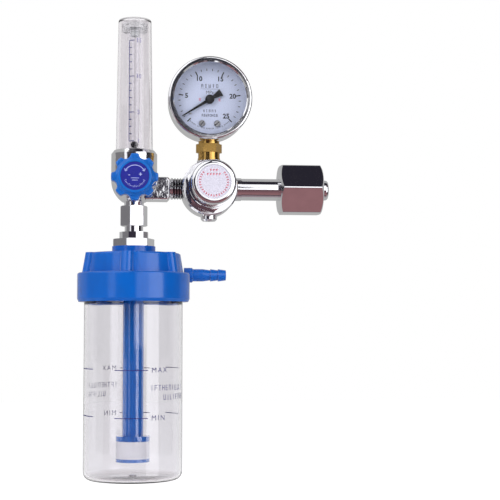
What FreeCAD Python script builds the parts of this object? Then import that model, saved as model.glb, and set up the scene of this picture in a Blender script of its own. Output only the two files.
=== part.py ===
# Oxygen regulator with pressure gauge, float flowmeter and humidifier bottle.
# Frame: +Z up, +X towards the cylinder valve, -Y is the front. The origin is the
# root of the inlet nose, on its axis, where the cylinder valve's seat begins.
import FreeCAD, Part
import math
import os
import re
import Sketcher
from FreeCAD import Placement, Rotation, Vector

doc = FreeCAD.newDocument("oxygen_regulator")
sheet = doc.addObject("Spreadsheet::Sheet", "sizes")

sizes = {
    # clearances shared by the fits
    "run_gap": 0.05, "seal_gap": 0.02, "face_gap": 0.3,
    # places of the three upright axes, measured back from the inlet nose
    "flow_reach": 118.0, "body_reach": 68.3,
    # regulator body, turned about its front-to-back axis
    "body_r": 18.5, "body_front": 12.0, "body_back": 12.0, "body_edge": 1.2,
    "membrane_bore_r": 15.2, "membrane_seat": 8.6, "low_chamber_r": 12.0,
    "low_chamber_floor": 6.0, "nozzle_bore_r": 5.0, "valve_bore_r": 4.0,
    "plug_bore_r": 5.5, "plug_bore_depth": 4.0,
    "inlet_boss_r": 7.6, "inlet_boss_len": 3.0, "inlet_thread_r": 6.0,
    "inlet_thread_len": 11.0, "port_r": 2.0,
    "outlet_thread_depth": 4.5, "outlet_port_r": 1.2,
    "gauge_boss_r": 8.0, "boss_rise": 0.4, "gauge_thread_r": 4.8,
    "gauge_thread_len": 8.5, "gauge_port_r": 1.5,
    "relief_boss_r": 5.5, "relief_bore_r": 3.05,
    "relief_depth": 6.4, "relief_port_r": 1.0, "relief_port_reach": 9.8, "relief_feed_r": 0.8,
    # bonnet, its cap and what they hold
    "membrane_thick": 0.8, "flange_step": 0.3, "bonnet_flange_thick": 2.0,
    "bonnet_hex": 29.0, "bonnet_hex_end": 24.4, "bonnet_hex_turn": 40.0,
    "bonnet_hex_round": 0.8, "bonnet_edge": 0.6,
    "bonnet_neck_r": 12.2, "bonnet_end": 34.0, "bonnet_bore_r": 10.0,
    "cap_r": 14.5, "cap_start": 26.0, "cap_front": 46.0, "cap_round": 2.6,
    "cap_bore_end": 36.0, "cap_recess_r": 11.0, "cap_recess_depth": 1.0,
    "cap_label_thick": 0.5,
    "plate_r": 9.5, "plate_thick": 2.0, "guide_r": 4.5, "guide_len": 2.6,
    "spring_r": 7.9, "spring_wire_r": 1.05, "spring_turns": 5.0, "button_thick": 3.0,
    # nozzle, poppet and rear plug
    "orifice_r": 1.5, "lip_r": 2.2, "lip_len": 0.6, "poppet_stem_r": 0.9,
    "poppet_head_len": 3.9, "poppet_gap": 0.08, "poppet_tail_r": 1.4,
    "poppet_tail_len": 2.0, "poppet_spring_r": 2.5, "poppet_wire_r": 0.3,
    "poppet_spring_turns": 4.0, "plug_hex": 14.0, "plug_head": 4.0,
    # relief valve
    "relief_cap_r": 5.4, "relief_cap_thick": 2.6, "relief_cap_edge": 1.2, "relief_thread_len": 2.0,
    "vent_r": 0.8, "relief_disc_thick": 1.6, "relief_wire_r": 0.25,
    "relief_spring_r": 2.2, "relief_spring_turns": 4.0,
    # inlet stem, nose and union nut
    "stem_r": 7.25, "collar_r": 9.7, "collar_len": 6.0, "nose_r": 6.7,
    "nose_len": 11.9, "nose_round": 2.0, "stem_bore_r": 2.5, "filter_r": 4.5,
    "filter_depth": 4.4, "filter_thick": 2.6,
    "nut_hex": 32.0, "nut_back": 21.4, "nut_front": 7.2, "nut_thread_r": 10.3,
    "nut_thread_depth": 1.1, "nut_pitch": 1.814, "nut_threads": 3, "nut_edge": 1.9,
    "nut_spin": 30.0, "nut_chamfer_slope": 1.7, "nut_round": 1.4,
    # gauge
    "case_r": 27.2, "case_wall": 0.8, "case_back": 10.0,
    "case_front": 11.0, "bezel_wall": 0.6, "bezel_start": 7.3, "bezel_front": 15.0,
    "bezel_face": 3.8, "bezel_break": 0.8, "bezel_lip": 2.0, "bezel_round": 1.5,
    "window_play": 0.2, "window_thick": 1.5, "window_seal_wide": 1.6,
    "dial_thick": 0.6, "dial_front": 5.6,
    "screw_x": 5.0, "screw_down": 16.0, "screw_head_r": 2.15, "screw_head": 1.0,
    "slot_wide": 0.6, "slot_deep": 0.45, "screw_shank_r": 1.0, "screw_shank_len": 3.0,
    "pointer_len": 21.6, "pointer_tail": 9.0, "pointer_hub_r": 3.0,
    "pointer_thick": 0.5, "pointer_lift": 1.4, "pointer_root": 1.1,
    "pointer_tip": 0.3, "tail_half": 2.6, "hub_thick": 1.8, "pointer_angle": 212.0,
    "stop_reach": 16.0, "stop_r": 0.6, "stop_angle": 5.0, "stop_len": 2.4,
    "seat_r": 7.5, "seat_thick": 1.5, "socket_neck_r": 7.2, "hex_lift": 5.4,
    "hex_tall": 5.8, "collar_tall": 2.0, "socket_hex": 15.0, "socket_collar_r": 7.0,
    "socket_top_r": 4.0, "socket_top_gap": 0.5, "socket_channel_r": 1.2, "block_half": 6.2,
    "block_edge": 4.6, "block_top": 12.0, "block_back": 8.0, "block_front": 1.0,
    "tube_mid_r": 17.0, "tube_thick": 3.0, "tube_wall": 0.4, "tube_start_angle": 290.0,
    "tube_sweep_angle": 280.0, "tube_tip_angle": 6.0, "tube_slot_angle": 30.0, "tube_inset": 0.5,
    "plate_half": 7.0, "plate_low": 18.5, "plate_high": 3.2, "plate_sheet": 0.8,
    "plate_gap": 3.2, "pillar_r": 1.8, "arbor_r": 0.6,
    "gear_module": 0.25, "pinion_teeth": 10, "sector_teeth": 80,
    "gear_play": 0.07, "sector_thick": 0.8, "sector_lift": 0.8, "pinion_thick": 1.8,
    "sector_neck": 1.4, "sector_root": 0.6, "sector_hub_r": 2.2, "sector_before": 6.0,
    "sector_after": 38.0, "sector_tail": 6.0,
    "tail_angle": 150.0, "tail_wide": 2.2, "link_lift": 1.9, "link_thick": 0.5,
    "link_wide": 1.6, "link_pin_r": 0.6,
    # flowmeter body and arm
    "flow_r": 15.2, "flow_top": 25.0, "flow_top_r": 13.4, "flow_edge": 2.4,
    "flow_waist": 5.4, "flow_low": 9.2, "flow_low_r": 7.75, "flow_bowl_r": 18.0,
    "spigot_neck_r": 6.6, "spigot_start": 10.0, "spigot_r": 6.45, "spigot_end": 16.2,
    "spigot_bore_r": 3.0, "spigot_bore_top": 2.0,
    "cover_socket_r": 12.6, "cover_floor": 13.0, "seal_seat_r": 5.8, "seal_seat": 9.0,
    "tube_port_r": 1.5, "return_reach": 8.6, "return_r": 1.3, "return_cross_r": 1.1,
    "arm_half_deep": 9.0, "arm_rise": 7.0, "arm_drop": 8.2, "nipple_show": 7.6, "arm_edge": 1.5,
    "arm_round": 1.3,
    "nipple_r": 7.2, "arm_thread_depth": 0.9, "arm_pitch": 1.8, "arm_threads": 4,
    "nipple_relief": 0.5, "arm_port_front": 5.0, "arm_port_up": 1.5,
    # needle valve and knob
    "knob_up": 5.0, "gland_boss_r": 8.0, "gland_face": 15.6, "gland_bore_r": 4.5,
    "gland_bore_end": 9.0, "needle_bore_r": 3.05, "needle_seat": 4.0,
    "needle_hole_r": 1.2, "gland_hex": 12.0, "gland_head": 3.8, "gland_thread_len": 4.6,
    "packing_thick": 1.9, "spindle_r": 2.0, "needle_tip_r": 0.39, "needle_slope": 0.4,
    "knob_r": 15.3, "knob_back": 17.0, "lobe_front": 26.0, "knob_front": 30.0,
    "knob_ring_r": 11.0, "knob_recess_r": 9.25, "knob_recess": 1.2,
    "knob_disc_thick": 0.9, "knob_hollow_r": 9.0, "knob_hollow": 3.6,
    "knob_round": 1.2, "lobes": 8, "scallop_r": 3.6, "scallop_reach": 16.2,
    "lobe_round": 1.0, "disc_gap": 0.1, "spindle_in_knob": 9.0,
    # clear cover, metering tube and float
    "cover_top": 113.2, "cover_low_r": 12.25, "cover_top_r": 11.0, "cover_wall": 1.6,
    "cover_crown": 2.0, "cover_round": 1.6, "cover_foot_r": 12.5, "cover_foot_top": 24.0,
    "cover_foot_gap": 0.2, "oring_low": 16.0, "oring_high": 18.0, "oring_depth": 1.1,
    "oring_squash": 0.04,
    "glass_r": 5.2, "glass_low": 10.5, "glass_top": 107.0, "glass_bore_low": 2.65,
    "glass_bore_top": 3.3, "glass_fit": 0.05, "holder_r": 8.5, "holder_low": 105.0,
    "holder_high": 109.7, "holder_stub_r": 4.0, "holder_gap": 0.1,
    "ball_r": 2.5, "ball_stop_top": 26.6, "ball_stop_r": 2.55, "ball_stop_bore": 1.2,
    "top_stop_low": 102.0, "top_stop_high": 105.0, "top_stop_bore": 1.4,
    # coupling between the flowmeter and the humidifier
    "coupling_hex": 16.0, "coupling_top": 11.8, "coupling_low": 25.2,
    "coupling_edge": 0.9, "coupling_turn": 12.0, "coupling_round": 0.8, "skirt_r": 6.1,
    "skirt_low": 28.9,
    "coupling_chamber_r": 6.5, "coupling_floor": 21.0, "washer_thick": 0.8,
    "hose_stem_r": 4.5, "stem_collar_r": 6.2, "hose_bore_r": 2.5,
    "clamp_top": 29.2, "clamp_collar_r": 9.6, "clamp_face": 33.7, "clamp_hex": 24.0,
    "clamp_edge": 0.7, "clamp_low": 38.7, "clamp_turn": 8.0, "clamp_round": 0.7,
    "inner_washer_r": 11.0, "inner_washer": 1.2, "inner_hex": 18.0, "inner_nut": 4.5,
    "hose_stem_end": 66.0,
    # humidifier cap and outlet barb
    "cap_boss_r": 14.3, "cap_boss_round": 0.8, "lid_top": 43.3, "lid_wall": 3.0,
    "lid_top_r": 31.0, "lid_low_r": 31.9, "lid_round": 1.6, "lid_low": 56.3,
    "ring_r": 37.0, "ring_round": 1.2, "ring_low": 75.3, "ring_lip": 2.0,
    "ring_lip_in": 0.9, "ring_bore_r": 32.8, "lid_bore_r": 28.9, "gasket_seat": 57.6,
    "ribs": 6, "rib_r": 4.2, "rib_low_reach": 31.45, "rib_top_reach": 29.15,
    "rib_turn": -99.0, "barb_r": 4.1, "barb_down": 57.5, "barb_root_r": 4.9,
    "barb_root_end": 38.6, "barb_plain_end": 45.6, "barb_end": 61.0, "barb_small_r": 3.4,
    "barb_ridges": 3, "barb_bore_r": 2.0,
    # bottle and bubbler
    "bottle_r": 32.4, "bottle_wall": 1.75, "bottle_low": 191.3, "bottle_corner": 5.0,
    "bottle_floor": 2.2, "bottle_shoulder": 74.2, "shoulder_round": 0.8,
    "neck_r": 31.2, "neck_wall": 1.7, "bottle_top": 59.3, "thread_ridge": 1.1,
    "thread_first": 62.5, "thread_pitch": 4.0, "thread_wide": 1.8, "thread_rings": 3,
    "gasket_gap": 0.05,
    "dip_r": 7.0, "dip_bore_r": 5.2, "dip_top": 53.2, "dip_low": 163.0,
    "dip_socket_end": 66.3, "diffuser_r": 11.2, "diffuser_flange": 3.3,
    "diffuser_spigot": 8.0, "diffuser_rim_r": 8.4, "diffuser_rim": 3.4,
    "sleeve_r": 11.0, "sleeve_low": 177.7, "diffuser_plate": 2.1,
}

for row, (word, value) in enumerate(sizes.items(), start=1):
    sheet.set("A%d" % row, word)
    sheet.set("B%d" % row, str(value))
    sheet.setAlias("B%d" % row, word)
doc.recompute()

# Sizes that follow from others. Each is text, worked out by the document itself.
derived = {}


def ex(text):
    def swap(found):
        word = found.group(0)
        if word in derived:
            return "(" + derived[word] + ")"
        if word in sizes:
            return "sizes." + word
        return word
    return re.sub(r"[a-z][a-z0-9_]*", swap, text)


def derive(word, text):
    derived[word] = ex(text)


def number(text):
    found = sheet.evalExpression(ex(text))
    return float(getattr(found, "Value", found))


derive("flow_x", "-flow_reach")
derive("body_x", "-body_reach")
derive("bonnet_flange_r", "body_r - flange_step")
derive("gauge_boss_top", "body_r + boss_rise")
derive("relief_boss_low", "body_r + boss_rise")
derive("relief_seat", "relief_boss_low - relief_depth")
derive("hex_low", "gauge_boss_top + hex_lift")
derive("hex_top", "hex_low + hex_tall")
derive("gauge_up", "hex_top + collar_tall + case_r")
derive("bezel_r", "case_r + bezel_wall")
derive("bezel_opening_r", "bezel_r - bezel_face")
derive("window_r", "case_r - window_play")
derive("window_seal_in_r", "window_r - window_seal_wide")
derive("dial_r", "case_r - case_wall - face_gap")
derive("block_low", "case_r - block_edge")
derive("arm_end", "flow_reach - body_reach - body_r - nipple_show")
derive("nipple_root", "arm_end + nipple_relief")

AXES = {
    "up": Rotation(),
    "right": Rotation(Vector(0, 1, 0), 90),
    "front": Rotation(Vector(1, 0, 0), 90),
    "down": Rotation(Vector(1, 0, 0), 180),
    "left": Rotation(Vector(0, 1, 0), -90),
}
ZERO = ("0", "0", "0")


def place(thing, axis, at, spin=0.0):
    turn = AXES[axis].multiply(Rotation(Vector(0, 0, 1), spin))
    thing.Placement = Placement(Vector(0, 0, 0), turn)
    for letter, text in zip("xyz", at):
        thing.setExpression("Placement.Base." + letter, ex(text))


def plane(body, role):
    return [item for item in body.Origin.OriginFeatures if item.Role == role][0]


def flat_sketch(body, name, role="XZ_Plane", lift=None):
    sketch = body.newObject("Sketcher::SketchObject", name)
    sketch.AttachmentSupport = (plane(body, role), "")
    sketch.MapMode = "FlatFace"
    if lift is not None:
        sketch.setExpression("AttachmentOffset.Base.z", ex(lift))
    return sketch


def outline(sketch, points):
    # A closed outline. A point is (across, along), or with a radius and a side (+1
    # turns left, -1 turns right) where an arc comes in to it.
    spots = [Vector(number(point[0]), number(point[1]), 0) for point in points]
    ends = []
    first = sketch.GeometryCount
    for index, point in enumerate(points):
        start = spots[index - 1]
        end = spots[index]
        if len(point) == 2:
            sketch.addGeometry(Part.LineSegment(start, end), False)
            ends.append((1, 2))
            continue
        radius = number(point[2])
        side = point[3]
        chord = end - start
        left = Vector(-chord.y, chord.x, 0).normalize()
        rise = math.sqrt(max(radius ** 2 - (chord.Length / 2) ** 2, 0.0))
        centre = (start + end) * 0.5 + left * (rise * side)
        begin, finish = (start, end) if side > 0 else (end, start)
        angles = [math.atan2(spot.y - centre.y, spot.x - centre.x) for spot in (begin, finish)]
        circle = Part.Circle(centre, Vector(0, 0, 1), radius)
        sketch.addGeometry(Part.ArcOfCircle(circle, angles[0], angles[1]), False)
        ends.append((1, 2) if side > 0 else (2, 1))
    count = len(points)
    for index in range(count):
        after = (index + 1) % count
        sketch.addConstraint(Sketcher.Constraint(
            "Coincident", first + index, ends[index][1], first + after, ends[after][0]))
    for index, point in enumerate(points):
        for kind, text in (("DistanceX", point[0]), ("DistanceY", point[1])):
            number_now = number(text)
            mark = sketch.addConstraint(Sketcher.Constraint(
                kind, -1, 1, first + index, ends[index][1], number_now))
            sketch.setExpression("Constraints[%d]" % mark, ex(text))
        if len(point) > 2:
            mark = sketch.addConstraint(Sketcher.Constraint(
                "Radius", first + index, number(point[2])))
            sketch.setExpression("Constraints[%d]" % mark, ex(point[2]))


def circle_sketch(sketch, across, along, radius):
    spot = Vector(number(across), number(along), 0)
    sketch.addGeometry(Part.Circle(spot, Vector(0, 0, 1), number(radius)), False)
    for kind, text in (("DistanceX", across), ("DistanceY", along)):
        mark = sketch.addConstraint(Sketcher.Constraint(kind, -1, 1, 0, 3, number(text)))
        sketch.setExpression("Constraints[%d]" % mark, ex(text))
    mark = sketch.addConstraint(Sketcher.Constraint("Radius", 0, number(radius)))
    sketch.setExpression("Constraints[%d]" % mark, ex(radius))


def turned(label, points, axis="up", at=ZERO, spin=0.0):
    body = doc.addObject("PartDesign::Body", label)
    body.Label = label
    sketch = flat_sketch(body, label + "_profile")
    outline(sketch, points)
    turn = body.newObject("PartDesign::Revolution", label + "_turn")
    turn.Profile = sketch
    turn.ReferenceAxis = (sketch, ["V_Axis"])
    turn.Angle = 360
    place(body, axis, at, spin)
    return body


def rings(body, kind, points, pitch, count):
    # Equal rings along the body's axis: a Groove cuts them, a Revolution adds them.
    sketch = flat_sketch(body, body.Name + "_ring")
    outline(sketch, points)
    ring = body.newObject("PartDesign::" + kind, body.Name + "_ring_turn")
    ring.Profile = sketch
    ring.ReferenceAxis = (sketch, ["V_Axis"])
    ring.Angle = 360
    doc.recompute()
    row = body.newObject("PartDesign::LinearPattern", body.Name + "_rings")
    row.Originals = [ring]
    row.Direction = (sketch, ["V_Axis"])
    row.setExpression("Length", ex("%s * (%s - 1)" % (pitch, count)))
    row.setExpression("Occurrences", ex(count))
    body.Tip = row


def coil(label, radius, wire, low, high, turns, axis, at):
    # A round wire coil whose wire just clears the seats at low and high.
    body = doc.addObject("PartDesign::Body", label)
    body.Label = label
    sketch = flat_sketch(body, label + "_wire")
    circle_sketch(sketch, radius, "%s + %s" % (low, wire), wire)
    helix = body.newObject("PartDesign::AdditiveHelix", label + "_coil")
    helix.Profile = sketch
    helix.ReferenceAxis = (sketch, ["V_Axis"])
    helix.Mode = "pitch-height-angle"
    helix.setExpression("Pitch", ex("(%s - %s - 2 * %s) / %s" % (high, low, wire, turns)))
    helix.setExpression("Height", ex("%s - %s - 2 * %s" % (high, low, wire)))
    place(body, axis, at)
    return body


def rod(name, radius, length, axis, at):
    thing = doc.addObject("Part::Cylinder", name)
    thing.setExpression("Radius", ex(radius))
    thing.setExpression("Height", ex(length))
    place(thing, axis, at)
    return thing


def block(name, span, at):
    thing = doc.addObject("Part::Box", name)
    for side, text in zip(("Length", "Width", "Height"), span):
        thing.setExpression(side, ex(text))
    place(thing, "up", at)
    return thing


def hexagon(name, across_flats, length, axis, at, spin=0.0):
    thing = doc.addObject("Part::Prism", name)
    thing.Polygon = 6
    thing.setExpression("Circumradius", ex("%s / sqrt(3)" % across_flats))
    thing.setExpression("Height", ex(length))
    place(thing, axis, at, spin)
    return thing


def rounded_hexagon(name, across_flats, length, edge_round, axis, at, spin=0.0):
    # A six-sided bar with its long edges rounded.
    body = doc.addObject("PartDesign::Body", name)
    sketch = flat_sketch(body, name + "_outline", "XY_Plane")
    corner_reach = "%s / sqrt(3)" % across_flats
    outline(sketch, [("%s * cos(%d)" % (corner_reach, angle), "%s * sin(%d)" % (corner_reach, angle))
                     for angle in range(0, 360, 60)])
    pad = body.newObject("PartDesign::Pad", name + "_pad")
    pad.Profile = sketch
    pad.setExpression("Length", ex(length))
    doc.recompute()
    round_edges(body, pad, edge_round, lambda ends: abs(ends[0].z - ends[1].z) > 0.1)
    place(body, axis, at, spin)
    return body


def round_edges(body, base, radius, wanted):
    # Rounds each edge of base whose two ends are wanted.
    names = []
    for index, edge in enumerate(base.Shape.Edges, start=1):
        ends = [vertex.Point for vertex in edge.Vertexes]
        if len(ends) == 2 and wanted(ends):
            names.append("Edge%d" % index)
    fillet = body.newObject("PartDesign::Fillet", body.Name + "_round")
    fillet.Base = (base, names)
    fillet.setExpression("Radius", ex(radius))
    body.Tip = fillet


def joined(name, things):
    thing = doc.addObject("Part::MultiFuse", name)
    thing.Shapes = things
    return thing


def shared(name, things):
    thing = doc.addObject("Part::MultiCommon", name)
    thing.Shapes = things
    return thing


def cut(name, base, tools):
    for tool in tools:
        thing = doc.addObject("Part::Cut", name)
        thing.Base = base
        thing.Tool = tool
        base = thing
    return base


nodes = {}


def keep(label, thing):
    thing.Label = label
    nodes[label] = thing


BODY = ("body_x", "0", "0")

# Regulator body
derive("inlet_face", "-(body_reach - body_r - inlet_boss_len)")
body_turn = turned("body_turn", [
    ("membrane_bore_r", "body_front"), ("membrane_bore_r", "membrane_seat"),
    ("low_chamber_r", "membrane_seat"), ("low_chamber_r", "low_chamber_floor"),
    ("nozzle_bore_r", "low_chamber_floor"), ("nozzle_bore_r", "0"),
    ("valve_bore_r", "0"), ("valve_bore_r", "plug_bore_depth - body_back"),
    ("plug_bore_r", "plug_bore_depth - body_back"), ("plug_bore_r", "-body_back"),
    ("body_r - body_edge", "-body_back"), ("body_r", "body_edge - body_back"),
    ("body_r", "body_front - body_edge"), ("body_r - body_edge", "body_front"),
], "front", BODY)
derive("wall_mid", "low_chamber_r + 1")
body_bosses = cut("body_bosses", joined("boss_set", [
    rod("inlet_boss", "inlet_boss_r", "body_r + inlet_boss_len - wall_mid", "right",
        ("body_x + wall_mid", "0", "0")),
    rod("gauge_boss", "gauge_boss_r", "gauge_boss_top - wall_mid", "up",
        ("body_x", "0", "wall_mid")),
    rod("relief_boss", "relief_boss_r", "relief_boss_low - wall_mid", "down",
        ("body_x", "0", "-wall_mid")),
]), [rod("membrane_room", "membrane_bore_r", "body_front", "front",
         ("body_x", "-membrane_seat", "0"))])
keep("regulator_body", cut("regulator_body", joined("body_blank", [body_turn, body_bosses]), [
    rod("inlet_thread_hole", "inlet_thread_r + run_gap", "inlet_thread_len", "left",
        ("inlet_face", "0", "0")),
    rod("inlet_port", "port_r", "-body_x + inlet_face", "right", BODY),
    rod("outlet_thread_hole", "nipple_r + run_gap", "outlet_thread_depth + 1", "right",
        ("body_x - body_r - 1", "0", "0")),
    rod("outlet_port", "outlet_port_r", "body_r - outlet_thread_depth", "right",
        ("body_x - body_r + outlet_thread_depth - 0.1",
         "-low_chamber_floor - outlet_port_r + 0.6", "0")),
    rod("gauge_thread_hole", "gauge_thread_r + run_gap", "gauge_thread_len + 1", "up",
        ("body_x", "0", "gauge_boss_top - gauge_thread_len")),
    rod("gauge_port", "gauge_port_r", "gauge_boss_top", "up", BODY),
    rod("relief_bore", "relief_bore_r", "relief_boss_low - relief_seat + 1", "down",
        ("body_x", "0", "-relief_seat")),
    rod("relief_riser", "relief_port_r", "relief_seat - relief_port_reach + 0.5", "up",
        ("body_x", "0", "-relief_seat - 0.5")),
    rod("relief_feed", "relief_feed_r", "low_chamber_floor + 1.5", "front",
        ("body_x", "0.5", "-relief_port_reach - 0.3")),
]))

# Bonnet, its cap, and the spring stack in front of the membrane
derive("clamp_at", "membrane_seat + membrane_thick")
bonnet_turn = turned("bonnet_turn", [
    ("bonnet_bore_r", "clamp_at"), ("membrane_bore_r - run_gap", "clamp_at"),
    ("membrane_bore_r - run_gap", "body_front"), ("bonnet_flange_r - bonnet_edge", "body_front"),
    ("bonnet_flange_r", "body_front + bonnet_edge"),
    ("bonnet_flange_r", "body_front + bonnet_flange_thick - bonnet_edge"),
    ("bonnet_flange_r - bonnet_edge", "body_front + bonnet_flange_thick"),
    ("bonnet_neck_r", "body_front + bonnet_flange_thick"), ("bonnet_neck_r", "bonnet_end"),
    ("bonnet_bore_r", "bonnet_end"),
], "front", BODY)
derive("bonnet_corner", "bonnet_hex / sqrt(3)")
derive("bonnet_hex_start", "body_front + bonnet_flange_thick - bonnet_edge")
bonnet_blank = turned("bonnet_blank", [
    ("bonnet_bore_r", "bonnet_hex_start"), ("bonnet_corner", "bonnet_hex_start"),
    ("bonnet_corner", "bonnet_hex_end - bonnet_edge"),
    ("bonnet_corner - 2 * bonnet_edge", "bonnet_hex_end"), ("bonnet_bore_r", "bonnet_hex_end"),
], "front", BODY)
keep("bonnet", joined("bonnet", [bonnet_turn, shared("bonnet_nut", [bonnet_blank, rounded_hexagon(
    "bonnet_prism", "bonnet_hex", "bonnet_hex_end", "bonnet_hex_round", "front", BODY,
    number("bonnet_hex_turn"))])]))
keep("bonnet_cap", turned("bonnet_cap", [
    ("0", "cap_bore_end"), ("bonnet_neck_r + run_gap", "cap_bore_end"),
    ("bonnet_neck_r + run_gap", "cap_start"), ("cap_r - bonnet_edge", "cap_start"),
    ("cap_r", "cap_start + bonnet_edge"), ("cap_r", "cap_front - cap_round"),
    ("cap_r - cap_round", "cap_front", "cap_round", 1), ("cap_recess_r", "cap_front"),
    ("cap_recess_r", "cap_front - cap_recess_depth"), ("0", "cap_front - cap_recess_depth"),
], "front", BODY))
keep("cap_label", turned("cap_label", [
    ("0", "cap_front - cap_recess_depth"),
    ("cap_recess_r - run_gap", "cap_front - cap_recess_depth"),
    ("cap_recess_r - run_gap", "cap_front - cap_recess_depth + cap_label_thick"),
    ("0", "cap_front - cap_recess_depth + cap_label_thick"),
], "front", BODY))
keep("diaphragm", turned("diaphragm", [
    ("0", "membrane_seat"), ("membrane_bore_r - run_gap", "membrane_seat"),
    ("membrane_bore_r - run_gap", "clamp_at"), ("0", "clamp_at"),
], "front", BODY))
derive("plate_face", "clamp_at + plate_thick")
keep("diaphragm_plate", turned("diaphragm_plate", [
    ("0", "clamp_at"), ("plate_r", "clamp_at"), ("plate_r", "plate_face"),
    ("guide_r", "plate_face"), ("guide_r", "plate_face + guide_len"),
    ("0", "plate_face + guide_len"),
], "front", BODY))
derive("button_face", "cap_bore_end - button_thick")
keep("main_spring", coil("main_spring", "spring_r", "spring_wire_r", "plate_face",
                         "button_face", "spring_turns", "front", BODY))
keep("spring_button", turned("spring_button", [
    ("0", "button_face - guide_len"), ("guide_r", "button_face - guide_len"),
    ("guide_r", "button_face"), ("plate_r", "button_face"), ("plate_r", "cap_bore_end"),
    ("0", "cap_bore_end"),
], "front", BODY))

# Nozzle, poppet and the plug behind them
keep("nozzle", turned("nozzle", [
    ("orifice_r", "-lip_len"), ("lip_r", "-lip_len"), ("lip_r", "0"),
    ("nozzle_bore_r - run_gap", "0"), ("nozzle_bore_r - run_gap", "low_chamber_floor"),
    ("orifice_r", "low_chamber_floor"),
], "front", BODY))
derive("poppet_face", "-lip_len - seal_gap")
derive("poppet_back", "poppet_face - poppet_head_len")
derive("plug_face", "plug_bore_depth - body_back")
keep("poppet", turned("poppet", [
    ("0", "poppet_back - poppet_tail_len"), ("poppet_tail_r", "poppet_back - poppet_tail_len"),
    ("poppet_tail_r", "poppet_back"), ("valve_bore_r - poppet_gap", "poppet_back"),
    ("valve_bore_r - poppet_gap", "poppet_face"), ("poppet_stem_r", "poppet_face"),
    ("poppet_stem_r", "membrane_seat - seal_gap"), ("0", "membrane_seat - seal_gap"),
], "front", BODY))
keep("poppet_spring", coil("poppet_spring", "poppet_spring_r", "poppet_wire_r", "plug_face",
                           "poppet_back", "poppet_spring_turns", "front", BODY))
keep("rear_plug", joined("rear_plug", [
    rod("plug_thread", "plug_bore_r - run_gap", "plug_bore_depth", "front",
        ("body_x", "body_back", "0")),
    hexagon("plug_head_hex", "plug_hex", "plug_head", "front",
            ("body_x", "body_back + plug_head", "0")),
]))

# Relief valve under the body
derive("relief_disc_low", "-relief_seat - seal_gap - relief_disc_thick")
derive("relief_screw_top", "relief_thread_len - relief_boss_low")
keep("relief_cap", turned("relief_cap", [
    ("vent_r", "-relief_boss_low - relief_cap_thick"),
    ("relief_cap_r - relief_cap_edge", "-relief_boss_low - relief_cap_thick"),
    ("relief_cap_r", "relief_cap_edge - relief_boss_low - relief_cap_thick"),
    ("relief_cap_r", "-relief_boss_low"), ("relief_bore_r - run_gap", "-relief_boss_low"),
    ("relief_bore_r - run_gap", "relief_screw_top"), ("vent_r", "relief_screw_top"),
], "up", BODY))
keep("relief_disc", turned("relief_disc", [
    ("0", "relief_disc_low"), ("relief_bore_r - run_gap", "relief_disc_low"),
    ("relief_bore_r - run_gap", "-relief_seat - seal_gap"), ("0", "-relief_seat - seal_gap"),
], "up", BODY))
keep("relief_spring", coil("relief_spring", "relief_spring_r", "relief_wire_r",
                           "relief_screw_top", "relief_disc_low", "relief_spring_turns",
                           "up", BODY))

# Inlet stem with its nose, the filter in it, and the union nut round it
derive("thread_end", "inlet_face - inlet_thread_len")
keep("inlet_stem", turned("inlet_stem", [
    ("stem_bore_r", "thread_end"), ("inlet_thread_r", "thread_end"),
    ("inlet_thread_r", "inlet_face"), ("stem_r", "inlet_face"),
    ("stem_r", "-collar_len"), ("collar_r", "-collar_len"), ("collar_r", "0"),
    ("nose_r", "0"), ("nose_r", "nose_len - nose_round"),
    ("nose_r - nose_round", "nose_len", "nose_round", 1), ("filter_r", "nose_len"),
    ("filter_r", "nose_len - filter_depth"), ("stem_bore_r", "nose_len - filter_depth"),
], "right"))
keep("inlet_filter", turned("inlet_filter", [
    ("0", "nose_len - filter_depth"), ("filter_r - run_gap", "nose_len - filter_depth"),
    ("filter_r - run_gap", "nose_len - filter_depth + filter_thick"),
    ("0", "nose_len - filter_depth + filter_thick"),
], "right"))
derive("nut_corner", "nut_hex / sqrt(3)")
derive("nut_face_r", "nut_corner - nut_edge * nut_chamfer_slope")
nut_turn = turned("nut_turn", [
    ("stem_r + run_gap", "-nut_back"), ("nut_face_r", "-nut_back"),
    ("nut_corner + 0.1", "nut_edge - nut_back"), ("nut_corner + 0.1", "nut_front - nut_edge"),
    ("nut_face_r", "nut_front"), ("nut_thread_r + nut_thread_depth", "nut_front"),
    ("nut_thread_r", "nut_front - nut_thread_depth"), ("nut_thread_r", "-collar_len - face_gap"),
    ("stem_r + run_gap", "-collar_len - face_gap"),
], "right")
rings(nut_turn, "Groove", [
    ("nut_thread_r - 0.2", "nut_pitch * 0.5"), ("nut_thread_r + nut_thread_depth", "nut_pitch"),
    ("nut_thread_r - 0.2", "nut_pitch * 1.5"),
], "nut_pitch", "nut_threads")
keep("union_nut", shared("union_nut", [
    nut_turn,
    rounded_hexagon("nut_prism", "nut_hex", "nut_back + nut_front", "nut_round", "right",
                    ("-nut_back", "0", "0"), number("nut_spin")),
]))

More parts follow.
